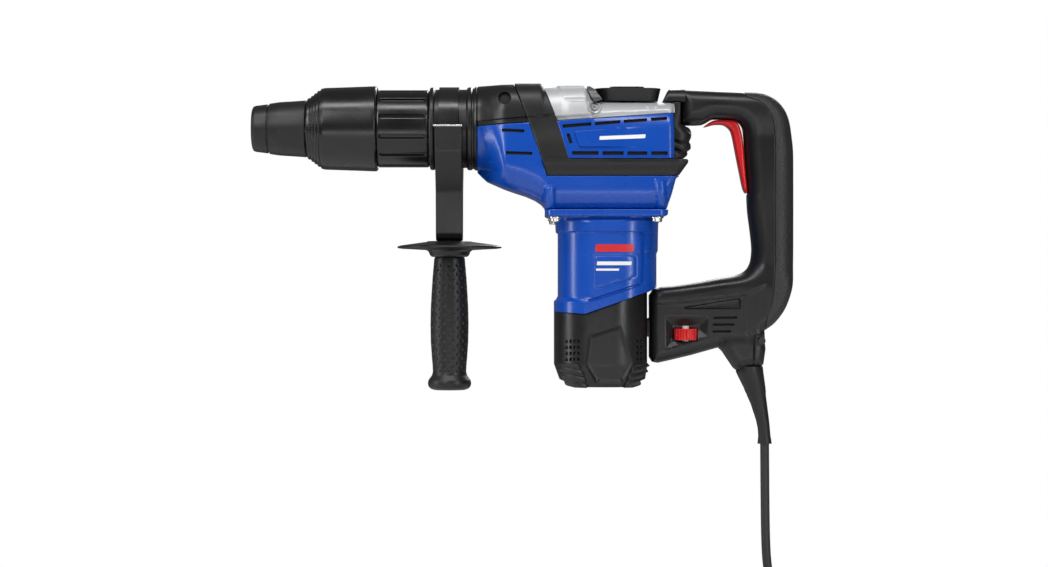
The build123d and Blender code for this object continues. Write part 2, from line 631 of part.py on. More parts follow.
corners = {3: 60, 4: 20, 5: 40, 8: 40, 9: 30, 10: 8, 11: 4, 12: 5, 13: 10, 14: 6, 15: 5, 16: 5, 19: 12,
           20: 9, 25: 7}
handle_solid = handle_block(0, handle_half, corners)
handle_cavity = handle_block(handle_wall, handle_half - handle_wall, corners)
trigger_slot = side_region([(-62, 60), (-60, 73), (-47, 76), (-22, 76), (-10, 64), (-6, 2), (-24, 2),
                            (-36, 40)], 10.0)
lug_slot = side_region([(-110, -102), (-82, -102), (-82, -122), (-110, -122)], 8.6)
dial_x, dial_y, dial_z = -75.3, -14.0, -118.0
dial_r = 10.0
with BuildPart() as handle_shell:
    add(handle_solid)
    add(handle_cavity, mode=Mode.SUBTRACT)
    with BuildSketch(Plane.XZ):
        with Locations(pivot):
            Circle(9.0)
    extrude(amount=handle_half - 1, both=True)
    add(trigger_slot, mode=Mode.SUBTRACT)
    add(lug_slot, mode=Mode.SUBTRACT)
    with Locations((dial_x, dial_y, dial_z)):
        Cylinder(dial_r + 0.6, 11.4, mode=Mode.SUBTRACT)
    with BuildSketch(Plane.XZ):
        with Locations(*[Location((-40.5, z), 3) for z in (-103.4, -109.6, -115.5)]):
            SlotOverall(21, 2.8)
        with Locations(pivot):
            Circle(4.0)
    extrude(amount=30, both=True, mode=Mode.SUBTRACT)
    # soft grip recess at the back of the grip
    add(side_region([(3.0, 100), (3.0, -64), (-2.0, -104), (40, -110), (40, 100)], 30),
        mode=Mode.SUBTRACT)
    # cord passage and boot socket
    with Locations(Location((-17.5, 0, -150), (0, 11, 0))):
        Cylinder(9.3, 24, mode=Mode.SUBTRACT)
with BuildPart() as soft_grip:
    add(handle_solid)
    add(side_region([(3.05, 100), (3.05, -64), (-1.95, -104), (40, -110), (40, 100)], 30),
        mode=Mode.INTERSECT)
    add(handle_block(5.0, handle_half - 5.0, {}), mode=Mode.SUBTRACT)
with BuildPart() as pivot_pin:
    with BuildSketch(Plane.XZ):
        with Locations(pivot):
            Circle(4.0)
    extrude(amount=18.5, both=True)
with BuildPart() as handle_screws:
    for x, z, side in ((-9.0, -123.4, -1), (-98.5, -130.0, 1), (-70.0, 81.0, 1)):
        with Locations(Location((x, side * (handle_half - 0.9), z), (90, 0, 0))):
            Cylinder(3.1, 2.2)
with BuildPart() as bellows:
    for k in range(4):
        with BuildSketch(Plane(origin=(rear_x + 0.05 + 4.0 * k, 0, 0), x_dir=(0, 1, 0), z_dir=(1, 0, 0))):
            with Locations((0, 50.4)):
                RectangleRounded(38 - (k % 2) * 3, 29 - (k % 2) * 3, 8)
                RectangleRounded(28, 19, 5, mode=Mode.SUBTRACT)
        extrude(amount=4.0)
    for k in range(2):
        with BuildSketch(Plane(origin=(rear_x + 0.05 + 3.2 * k, 0, 0), x_dir=(0, 1, 0), z_dir=(1, 0, 0))):
            with Locations((0, 80.0)):
                RectangleRounded(39 - k * 2, 32 - k * 2, 9)
                RectangleRounded(27, 20, 5, mode=Mode.SUBTRACT)
        extrude(amount=3.2)
with BuildPart() as trigger:
    with BuildSketch(Plane.XZ) as lever:
        with BuildLine():
            Polyline((-58.4, 64.4), (-52.5, 69.2), (-34.5, 69.4), (-27, 66.0), (-16, 60), (-10.5, 12),
                     (-10.5, 3.5), (-17.5, 3.5), (-22.6, 7), (-25.2, 14), (-27.8, 26), (-33.2, 54),
                     (-36, 61.5), (-43, 65.8), (-52, 66.0), close=True)
        make_face()
        fillet(lever.vertices().sort_by_distance((-36, 61.5, 0))[0], 5)
    extrude(amount=9.5, both=True)
    with BuildSketch(Plane.XZ):
        with Locations((-14.0, 7.5)):
            Circle(2.0)
    extrude(amount=11.9, both=True)
with BuildPart() as thumbwheel:
    with Locations((dial_x, dial_y, dial_z)):
        Cylinder(dial_r, 10.4)
        with PolarLocations(dial_r, 20):
            Cylinder(0.7, 12, mode=Mode.SUBTRACT)
        Cylinder(3.0, 14, mode=Mode.SUBTRACT)
with BuildPart() as switch_module:
    with Locations((0.0, 0, 28)):
        Box(5.8, 26, 44)
with BuildPart() as speed_module:
    with Locations((-60, 6, -96)):
        Box(30, 18, 12)
    with Locations((dial_x, dial_y, dial_z)):
        Cylinder(2.95, 15.0)

# --- cord ---
boot_top = Vector(-18.0, 0, -147.5)
boot_axis = (Vector(*cord_exit) - boot_top)
with BuildPart() as cord_boot:
    top = Plane(origin=boot_top, x_dir=(0, 1, 0), z_dir=boot_axis)
    sections = []
    for t, r in ((0.0, 12.0), (0.12, 11.2), (0.45, 8.8), (1.0, 6.6)):
        with BuildSketch(Plane(origin=boot_top + boot_axis * t, x_dir=(0, 1, 0),
                               z_dir=boot_axis)) as ring:
            Circle(r)
        sections.append(ring.sketch)
    loft(sections)
    with BuildSketch(top):
        Circle(9.0)
    extrude(amount=-10)
with BuildPart() as handle_body:
    add(handle_shell.part)
    add([cord_boot.part, handle_screws.part], mode=Mode.SUBTRACT)
handle_left = handle_body.part & Pos(-50, -50, 0) * Box(400, 99.9, 400)
handle_right = handle_body.part & Pos(-50, 50, 0) * Box(400, 99.9, 400)

lead_route = [cord_exit, (-4.4, 1.5, -266.0), (-4.0, 0.0, -322.0),
              (-4.0, -36.0, floor_z + cord_d / 2 + 0.5), (-4.0, -80.0, floor_z + cord_d / 2)]
tail_y = coil_centre[1] - coil_mean_r - 10


def arc_radius(a, b, c):
    """Radius of the arc that rounds corner b: 0.45 of the shorter run over tan(half the turn)."""
    before, after = Vector(*b) - Vector(*a), Vector(*c) - Vector(*b)
    half_turn = radians(before.get_angle(after)) / 2
    return 0.45 * min(before.length, after.length) / tan(half_turn)


radii = [arc_radius(*lead_route[i:i + 3]) for i in range(len(lead_route) - 2)]
print("cord arc radii", [round(r, 1) for r in radii])
with BuildPart() as cord:
    with BuildLine() as route:
        FilletPolyline(*lead_route, radius=radii)
    with BuildSketch(Plane(origin=cord_exit, z_dir=route.line % 0)):
        Circle(cord_d / 2)
    sweep(path=route.line)
    # tail from the last turn of the coil to the plug
    with BuildSketch(Plane(origin=(coil_centre[0], tail_y, plug_z), x_dir=(0, 1, 0), z_dir=(-1, 0, 0))):
        Circle(cord_d / 2)
    extrude(amount=56)
lead_len = sum(edge.length for edge in route.line.edges())
print("lead length", round(lead_len, 1), "volume ratio",
      round(cord.part.volume / (pi * cord_d ** 2 / 4 * (lead_len + 56)), 3))
with BuildPart() as cord_coil:
    with BuildSketch(Plane.XZ.offset(-coil_centre[1])) as bundle:
        with Locations((coil_centre[0] + coil_mean_r, floor_z + coil_h / 2)):
            RectangleRounded(2 * coil_half_w, coil_h, 7)
    revolve(axis=Axis((coil_centre[0], coil_centre[1], 0), (0, 0, 1)))
with BuildPart() as coil_tie:
    with BuildSketch(Plane.XZ.offset(-coil_centre[1])):
        with Locations((coil_centre[0] - coil_mean_r, floor_z + coil_h / 2 + 0.6)):
            RectangleRounded(2 * coil_half_w + 2.4, coil_h + 1.2, 7.6)
            RectangleRounded(2 * coil_half_w, coil_h - 1.2, 6.5, mode=Mode.SUBTRACT)
    extrude(amount=5, both=True)
    add(cord_coil.part, mode=Mode.SUBTRACT)
plug_x = coil_centre[0] - 56.0
with BuildPart() as plug:
    add(turned([(0, 0), (0, 5.5), (14, 8.0), (20, 15.5), (34, 18.0), (44, 18.3), (45, 17.6), (45, 0)],
               (plug_x, tail_y, plug_z), (-1, 0, 0)))
    with Locations(*[Location((plug_x - 50, tail_y + y, plug_z), (0, 90, 0)) for y in (-9.5, 9.5)]):
        Cylinder(2.3, 19)

pieces = {
    "gear_housing": gear_housing.part, "front_cover": front_cover.part, "lower_cover": lower_cover.part,
    "bumper": bumper.part, "side_panel_left": side_left, "side_panel_right": side_right,
    "neck_sleeve": neck_sleeve.part, "front_ring": front_ring.part, "tool_holder": tool_holder.part,
    "spindle_tube": spindle_tube.part, "dust_cap": dust_cap.part, "locking_sleeve": locking_sleeve.part,
    "bevel_ring": bevel_ring.part, "impact_bolt": impact_bolt.part, "striker": striker.part,
    "piston": piston.part, "con_rod": con_rod.part, "crank_shaft": crank_shaft.part,
    "crank_gear": crank_gear, "layshaft": layshaft.part, "layshaft_gear": layshaft_gear,
    "bearings": shaft_bearings.part, "gear_bridge": gear_bridge.part,
    "armature_shaft": armature_shaft.part, "armature_core": armature_core.part,
    "armature_winding": armature_winding.part, "commutator": commutator.part, "fan": fan.part,
    "stator_core": stator_core.part, "field_coils": field_coils.part,
    "brush_holders": brush_holders.part, "carbon_brushes": carbon_brushes.part,
    "motor_housing": motor_housing.part, "motor_screws": motor_screws.part, "motor_cap": motor_cap.part,
    "cap_bumper": cap_bumper.part, "knob_base": knob_base.part, "mode_knob": mode_knob.part,
    "knob_button": knob_button.part, "top_screws": top_screws.part, "clamp_strap": clamp_strap.part,
    "clamp_bracket": clamp_bracket.part, "clamp_bolt": clamp_bolt.part,
    "side_grip_core": side_grip_core.part, "side_grip_sleeve": side_grip_sleeve.part,
    "handle_left": handle_left, "handle_right": handle_right, "soft_grip": soft_grip.part,
    "pivot_pin": pivot_pin.part, "handle_screws": handle_screws.part, "bellows": bellows.part,
    "trigger": trigger.part, "thumbwheel": thumbwheel.part, "switch_module": switch_module.part,
    "speed_module": speed_module.part, "cord_boot": cord_boot.part, "cord": cord.part,
    "cord_coil": cord_coil.part, "coil_tie": coil_tie.part, "plug": plug.part,
}
for name, shape in pieces.items():
    shape.label = name
    export_step(shape, f"parts/{name}.step")
    print(name, len(shape.solids()), round(shape.volume))
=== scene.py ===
import math

import bmesh
import bpy
import numpy as np
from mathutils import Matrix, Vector
from mathutils.geometry import delaunay_2d_cdt


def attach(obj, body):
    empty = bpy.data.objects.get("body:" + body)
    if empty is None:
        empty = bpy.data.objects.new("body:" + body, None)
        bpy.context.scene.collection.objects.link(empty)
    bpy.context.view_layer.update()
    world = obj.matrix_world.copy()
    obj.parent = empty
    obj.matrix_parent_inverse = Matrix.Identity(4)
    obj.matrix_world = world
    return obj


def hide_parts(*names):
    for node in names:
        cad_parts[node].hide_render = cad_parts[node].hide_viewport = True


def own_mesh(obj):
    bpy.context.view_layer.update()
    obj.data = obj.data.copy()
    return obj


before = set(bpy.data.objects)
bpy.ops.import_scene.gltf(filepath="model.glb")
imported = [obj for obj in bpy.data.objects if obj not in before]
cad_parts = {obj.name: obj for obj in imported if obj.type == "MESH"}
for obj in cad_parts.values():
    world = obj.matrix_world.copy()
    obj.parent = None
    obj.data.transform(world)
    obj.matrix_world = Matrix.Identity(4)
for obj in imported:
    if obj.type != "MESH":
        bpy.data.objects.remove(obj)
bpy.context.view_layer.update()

MM = 0.001
AX = 62.5                      # height of the spindle line, mm


# ---------------------------------------------------------------- materials
def new_material(name):
    m = bpy.data.materials.new(name)
    m.use_nodes = True
    m.node_tree.nodes.clear()
    return m, m.node_tree.nodes, m.node_tree.links


def surface_material(name, color, roughness=0.5, metallic=0.0, coat=0.0, coat_roughness=0.1, specular=0.5,
                     grain=0.0, grain_scale=900.0, color_var=0.04, rough_var=0.06, var_scale=25.0,
                     cell=0.0, cell_scale=700.0, sheen=0.0, edge=0.0):
    """Principled surface with fine grain or leather-like cells, slight colour and gloss variation, and a painted
    highlight: colour lightened along convex edges.
    """
    m, nodes, links = new_material(name)
    out = nodes.new("ShaderNodeOutputMaterial")
    bsdf = nodes.new("ShaderNodeBsdfPrincipled")
    links.new(bsdf.outputs[0], out.inputs[0])
    coords = nodes.new("ShaderNodeTexCoord")
    bsdf.inputs["Metallic"].default_value = metallic
    bsdf.inputs["Coat Weight"].default_value = coat
    bsdf.inputs["Coat Roughness"].default_value = coat_roughness
    bsdf.inputs["Specular IOR Level"].default_value = specular
    bsdf.inputs["Sheen Weight"].default_value = sheen
    noise = nodes.new("ShaderNodeTexNoise")
    noise.inputs["Scale"].default_value = var_scale
    noise.inputs["Detail"].default_value = 6.0
    links.new(coords.outputs["Object"], noise.inputs["Vector"])
    ramp = nodes.new("ShaderNodeMapRange")
    ramp.inputs["From Min"].default_value = 0.3
    ramp.inputs["From Max"].default_value = 0.7
    ramp.inputs["To Min"].default_value = roughness - rough_var
    ramp.inputs["To Max"].default_value = roughness + rough_var
    links.new(noise.outputs["Fac"], ramp.inputs["Value"])
    links.new(ramp.outputs[0], bsdf.inputs["Roughness"])
    mix = nodes.new("ShaderNodeMix")
    mix.data_type = "RGBA"
    mix.inputs["A"].default_value = (*[c * (1 - color_var) for c in color], 1)
    mix.inputs["B"].default_value = (*[min(1, c * (1 + color_var) + 0.002) for c in color], 1)
    links.new(noise.outputs["Fac"], mix.inputs["Factor"])
    shade = mix.outputs["Result"]
    # painted highlight: edge lightens the base colour on convex edges (by pointiness), standing in for light caught on
    # rounded edges
    if edge:
        geo = nodes.new("ShaderNodeNewGeometry")
        edge_highlight = nodes.new("ShaderNodeMapRange")
        edge_highlight.inputs["From Min"].default_value = 0.53
        edge_highlight.inputs["From Max"].default_value = 0.62
        edge_highlight.inputs["To Max"].default_value = edge
        links.new(geo.outputs["Pointiness"], edge_highlight.inputs["Value"])
        lighter = nodes.new("ShaderNodeMix")
        lighter.data_type = "RGBA"
        links.new(edge_highlight.outputs[0], lighter.inputs["Factor"])
        links.new(shade, lighter.inputs["A"])
        lighter.inputs["B"].default_value = (*[min(1, c * 1.8 + 0.03) for c in color], 1)
        shade = lighter.outputs["Result"]
    links.new(shade, bsdf.inputs["Base Color"])
    height = None
    if grain:
        fine = nodes.new("ShaderNodeTexNoise")
        fine.inputs["Scale"].default_value = grain_scale
        fine.inputs["Detail"].default_value = 3.0
        links.new(coords.outputs["Object"], fine.inputs["Vector"])
        height = fine.outputs["Fac"], grain
    if cell:
        cells = nodes.new("ShaderNodeTexVoronoi")
        cells.inputs["Scale"].default_value = cell_scale
        links.new(coords.outputs["Object"], cells.inputs["Vector"])
        height = cells.outputs["Distance"], cell
    if height:
        bump = nodes.new("ShaderNodeBump")
        bump.inputs["Strength"].default_value = height[1]
        bump.inputs["Distance"].default_value = 0.0004
        links.new(height[0], bump.inputs["Height"])
        links.new(bump.outputs[0], bsdf.inputs["Normal"])
    return m


def brushed_metal(name, color, roughness=0.28, axis="X", specular=0.5, strength=0.12, scale=60.0):
    """Turned or ground metal: streaks across the given axis."""
    m, nodes, links = new_material(name)
    out = nodes.new("ShaderNodeOutputMaterial")
    bsdf = nodes.new("ShaderNodeBsdfPrincipled")
    links.new(bsdf.outputs[0], out.inputs[0])
    bsdf.inputs["Metallic"].default_value = 1.0
    bsdf.inputs["Base Color"].default_value = (*color, 1)
    coords = nodes.new("ShaderNodeTexCoord")
    mapping = nodes.new("ShaderNodeMapping")
    stretch = {"X": (40, 1, 1), "Y": (1, 40, 1), "Z": (1, 1, 40)}[axis]
    mapping.inputs["Scale"].default_value = stretch
    noise = nodes.new("ShaderNodeTexNoise")
    noise.inputs["Scale"].default_value = scale
    noise.inputs["Detail"].default_value = 4.0
    links.new(coords.outputs["Object"], mapping.inputs["Vector"])
    links.new(mapping.outputs[0], noise.inputs["Vector"])
    ramp = nodes.new("ShaderNodeMapRange")
    ramp.inputs["To Min"].default_value = roughness - 0.08
    ramp.inputs["To Max"].default_value = roughness + 0.12
    links.new(noise.outputs["Fac"], ramp.inputs["Value"])
    links.new(ramp.outputs[0], bsdf.inputs["Roughness"])
    bump = nodes.new("ShaderNodeBump")
    bump.inputs["Strength"].default_value = strength
    bump.inputs["Distance"].default_value = 0.0002
    links.new(noise.outputs["Fac"], bump.inputs["Height"])
    links.new(bump.outputs[0], bsdf.inputs["Normal"])
    return m


def flat_material(name, color, roughness=0.6):
    m, nodes, links = new_material(name)
    out = nodes.new("ShaderNodeOutputMaterial")
    bsdf = nodes.new("ShaderNodeBsdfPrincipled")
    bsdf.inputs["Roughness"].default_value = roughness
    noise = nodes.new("ShaderNodeTexNoise")
    noise.inputs["Scale"].default_value = 80.0
    mix = nodes.new("ShaderNodeMix")
    mix.data_type = "RGBA"
    mix.inputs["A"].default_value = (*[c * 0.94 for c in color], 1)
    mix.inputs["B"].default_value = (*color, 1)
    links.new(noise.outputs["Fac"], mix.inputs["Factor"])
    links.new(mix.outputs["Result"], bsdf.inputs["Base Color"])
    links.new(bsdf.outputs[0], out.inputs[0])
    return m


MAT = {
    # painted shade: flat near-black colour for vent floors and the inner core, standing in for the shadow inside the
    # housing
    "painted_shade": flat_material("shadowed_inside", (0.004, 0.004, 0.0045), 0.8),
    "red_print": flat_material("red_print", (0.6, 0.01, 0.012), 0.4),
    "white_print": flat_material("white_print", (0.8, 0.8, 0.8), 0.4),
    "gunmetal": surface_material("dark_casting", (0.1, 0.105, 0.11), 0.4, metallic=0.6, grain=0.2, grain_scale=1100),
    # edge= sets the strength of the painted edge highlight on these mouldings
    "blue": surface_material("blue_moulded", (0.0006, 0.058, 0.38), 0.27, specular=0.45, coat=0.15, coat_roughness=0.12,
                             grain=0.04, grain_scale=1800, color_var=0.04, rough_var=0.04, edge=0.12),
    "black": surface_material("black_moulded", (0.006, 0.006, 0.0063), 0.34, specular=0.45, grain=0.12,
                              grain_scale=1500, edge=0.12),
    "black_fine": surface_material("black_satin", (0.005, 0.005, 0.0053), 0.25, specular=0.5, grain=0.05,
                                   grain_scale=1800, edge=0.15),
    "rubber": surface_material("black_rubber", (0.0062, 0.0062, 0.0065), 0.42, specular=0.42, grain=0.12,
                               grain_scale=1200, sheen=0.02, edge=0.1),
    "stipple": surface_material("stippled_rubber", (0.012, 0.012, 0.0125), 0.5, cell=0.7, cell_scale=620),
    "cable": surface_material("cable_rubber", (0.014, 0.014, 0.015), 0.48, grain=0.08, grain_scale=1500),
    "silver": surface_material("cast_aluminium", (0.5, 0.51, 0.52), 0.42, metallic=0.35, grain=0.12,
                               grain_scale=1100, color_var=0.03),
    "red": surface_material("red_moulded", (0.55, 0.004, 0.006), 0.3, coat=0.2, grain=0.03, grain_scale=1500),
    "steel": brushed_metal("ground_steel", (0.52, 0.52, 0.53), 0.3),
    "zinc": brushed_metal("zinc_plated", (0.66, 0.66, 0.64), 0.22, axis="Z"),
    "alloy": brushed_metal("machined_alloy", (0.7, 0.71, 0.72), 0.35, axis="Y"),
    "copper": brushed_metal("copper_wire", (0.66, 0.28, 0.12), 0.3, axis="Z", strength=0.5, scale=120),
    "brass": brushed_metal("brass_sheet", (0.72, 0.52, 0.22), 0.28, axis="Y"),
    "graphite": surface_material("pressed_carbon", (0.03, 0.03, 0.032), 0.5, grain=0.3, grain_scale=2200),
    "pale": surface_material("pale_nylon", (0.62, 0.6, 0.55), 0.45, grain=0.08, grain_scale=1500),
}

NODE_MATERIAL = {
    "silver": ["gear_housing"],
    "blue": ["lower_cover", "side_panel_left", "side_panel_right", "motor_housing"],
    "black": ["front_cover", "neck_sleeve", "front_ring", "knob_base", "motor_cap", "handle_left", "handle_right",
              "clamp_bracket", "plug"],
    "black_fine": ["locking_sleeve", "mode_knob", "side_grip_core", "clamp_strap", "handle_screws"],
    "rubber": ["bumper", "dust_cap", "cap_bumper", "side_grip_sleeve", "bellows", "cord_boot", "coil_tie"],
    "stipple": ["soft_grip"],
    "cable": ["cord", "cord_coil"],
    "red": ["trigger", "thumbwheel", "knob_button"],
    "steel": ["tool_holder", "spindle_tube", "bevel_ring", "impact_bolt", "striker", "piston", "con_rod",
              "crank_shaft", "crank_gear", "layshaft", "layshaft_gear", "bearings", "armature_shaft",
              "armature_core", "stator_core", "pivot_pin"],
    "zinc": ["motor_screws", "top_screws", "clamp_bolt"],
    "alloy": ["gear_bridge"],
    "copper": ["armature_winding", "field_coils", "commutator"],
    "brass": ["brush_holders"],
    "graphite": ["carbon_brushes"],
    "pale": ["fan", "switch_module", "speed_module"],
}


def assign(obj, material):
    obj.data.materials.clear()
    obj.data.materials.append(MAT[material])


def smooth(obj, angle=35.0):
    """Smooth shading with edges sharper than angle kept crisp."""
    for p in obj.data.polygons:
        p.use_smooth = True
    obj.data.set_sharp_from_angle(angle=math.radians(angle))


for material, names in NODE_MATERIAL.items():
    for name in names:
        assign(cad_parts[name], material)
        smooth(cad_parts[name], 30)

# ---------------------------------------------------------------- shape tools (outlines in mm, X right, Z up)
def signed_distance(points, poly):
    """Distance from points to a closed outline, positive inside."""
    points, poly = np.asarray(points, float), np.asarray(poly, float)
    a, b = poly, np.roll(poly, -1, 0)
    d = b - a
    length2 = np.maximum((d * d).sum(1), 1e-12)
    best = np.full(len(points), 1e9)
    crossings = np.zeros(len(points), int)
    for i in range(len(a)):
        rel = points - a[i]
        t = np.clip((rel @ d[i]) / length2[i], 0, 1)
        gap = rel - t[:, None] * d[i]
        best = np.minimum(best, (gap * gap).sum(1))
        spans = (a[i, 1] > points[:, 1]) != (b[i, 1] > points[:, 1])
        if spans.any():
            x_at = a[i, 0] + (points[:, 1] - a[i, 1]) * d[i, 0] / (d[i, 1] if abs(d[i, 1]) > 1e-9 else 1e-9)
            crossings += spans & (points[:, 0] < x_at)
    best = np.sqrt(best)
    return np.where(crossings % 2 == 1, best, -best)


def line_distance(points, line):
    """Distance from points to an open polyline."""
    points, line = np.asarray(points, float), np.asarray(line, float)
    best = np.full(len(points), 1e9)
    for a, b in zip(line[:-1], line[1:]):
        d = b - a
        t = np.clip(((points - a) @ d) / max(d @ d, 1e-12), 0, 1)
        best = np.minimum(best, np.linalg.norm(points - a - t[:, None] * d, axis=1))
    return best


def above_line(points, line):
    """How far each point lies above a polyline that runs left to right."""
    line = np.asarray(line, float)
    return points[:, 1] - np.interp(points[:, 0], line[:, 0], line[:, 1])


def resample(poly, step, closed=True):
    poly = np.asarray(poly, float)
    ends = np.roll(poly, -1, 0) if closed else poly[1:]
    out = []
    for a, b in zip(poly, ends):
        n = max(1, int(math.ceil(np.linalg.norm(b - a) / step)))
        out += [a + (b - a) * i / n for i in range(n)]
    if not closed:
        out.append(poly[-1])
    return np.array(out)


def round_corners(poly, radii, segments=8):
    """Outline with its corners rounded: radii is one number or one per corner."""
    poly = [np.asarray(p, float) for p in poly]
    n = len(poly)
    radii = [radii] * n if np.isscalar(radii) else list(radii)
    out = []
    for i, p in enumerate(poly):
        a, b = poly[i - 1] - p, poly[(i + 1) % n] - p
        la, lb = np.linalg.norm(a), np.linalg.norm(b)
        r = radii[i]
        if r <= 0 or la < 1e-9 or lb < 1e-9:
            out.append(p)
            continue
        a, b = a / la, b / lb
        half = math.acos(max(-1, min(1, float(a @ b)))) / 2
        if half > math.radians(89):
            out.append(p)
            continue
        cut = min(r / math.tan(half), la * 0.49, lb * 0.49)
        r = cut * math.tan(half)
        centre = p + (a + b) / np.linalg.norm(a + b) * (r / math.sin(half))
        s, e = p + a * cut - centre, p + b * cut - centre
        ang0, ang1 = math.atan2(s[1], s[0]), math.atan2(e[1], e[0])
        sweep = (ang1 - ang0 + math.pi) % (2 * math.pi) - math.pi
        for k in range(segments + 1):
            t = ang0 + sweep * k / segments
            out.append(centre + r * np.array([math.cos(t), math.sin(t)]))
    return np.array(out)


def spline_through(points, per=8, closed=False):
    """Catmull-Rom curve through points."""
    p = np.asarray(points, float)
    n = len(p)
    out = []
    for i in range(n if closed else n - 1):
        p0 = p[(i - 1) % n] if closed or i > 0 else 2 * p[0] - p[1]
        p1, p2 = p[i], p[(i + 1) % n]
        p3 = p[(i + 2) % n] if closed or i + 2 < n else 2 * p[-1] - p[-2]
        for k in range(per):
            t = k / per
            out.append(0.5 * (2 * p1 + (p2 - p0) * t + (2 * p0 - 5 * p1 + 4 * p2 - p3) * t * t
                              + (3 * p1 - p0 - 3 * p2 + p3) * t ** 3))
    if not closed:
        out.append(p[-1])
    return np.array(out)


def ease(t):
    t = np.clip(t, 0, 1)
    return t * t * (3 - 2 * t)


def quarter(d, r):
    """Drop of a surface rounded with radius r, at distance d from its edge."""
    d = np.clip(d, 0, r)
    return r - np.sqrt(np.maximum(r * r - (r - d) ** 2, 0))


def make_object(name, verts, faces, material, angle=32.0):
    mesh = bpy.data.meshes.new(name)
    mesh.from_pydata([tuple(v) for v in verts], [], faces)
    mesh.validate()
    obj = bpy.data.objects.new(name, mesh)
    bpy.context.scene.collection.objects.link(obj)
    mesh.materials.append(MAT[material])
    smooth(obj, angle)
    return obj


def triangulate(outline, step, rings, loops, holes):
    """Delaunay mesh of an outline whose edge rings and feature loops are kept exactly."""
    points, edges = [], []

    def add_loop(loop, closed=True):
        start = len(points)
        points.extend(loop)
        edges.extend((start + i, start + i + 1) for i in range(len(loop) - 1))
        if closed:
            edges.append((start + len(loop) - 1, start))

    outline = resample(outline, step)
    add_loop(outline)
    for loop, closed in loops:
        loop = resample(loop, step * 0.7, closed)
        add_loop(loop, closed)
    for hole in holes:
        add_loop(resample(hole, step * 0.7))
    fixed = np.array(points)
    extra = []
    tangent = np.roll(outline, -1, 0) - np.roll(outline, 1, 0)
    normal = np.stack([-tangent[:, 1], tangent[:, 0]], 1)
    normal /= np.maximum(np.linalg.norm(normal, axis=1), 1e-9)[:, None]
    probe = signed_distance(outline + normal * 0.05, outline)
    normal *= np.where(probe > 0, 1, -1)[:, None]
    for r in rings:
        ring = outline + normal * r
        ring = ring[signed_distance(ring, outline) > r * 0.9]
        extra.append(ring)
    low, high = outline.min(0), outline.max(0)
    xs = np.arange(low[0], high[0], step)
    zs = np.arange(low[1], high[1], step * 0.866)
    grid = np.array([(x + (step / 2 if j % 2 else 0), z) for j, z in enumerate(zs) for x in xs])
    grid = grid[signed_distance(grid, outline) > (rings[-1] if rings else 0) + step * 0.5]
    extra.append(grid)
    extra = np.concatenate(extra) if extra else np.zeros((0, 2))
    if len(loops) or len(holes):
        inner = fixed[len(outline):]
        keep = np.ones(len(extra), bool)
        for chunk in range(0, len(extra), 2000):
            block = extra[chunk:chunk + 2000]
            gap = np.sqrt(((block[:, None, :] - inner[None]) ** 2).sum(2)).min(1)
            keep[chunk:chunk + 2000] = gap > step * 0.3
        extra = extra[keep]
    allp = [Vector((float(p[0]), float(p[1]))) for p in np.concatenate([fixed, extra])]
    verts, _, faces, _, _, _ = delaunay_2d_cdt(allp, edges, [], 0, 1e-4)
    verts = np.array([(v.x, v.y) for v in verts])
    tri = np.array([f for f in faces if len(f) == 3])
    centre = verts[tri].mean(1)
    keep = signed_distance(centre, outline) > 0
    for hole in holes:
        keep &= signed_distance(centre, hole) < 0
    return verts, tri[keep]


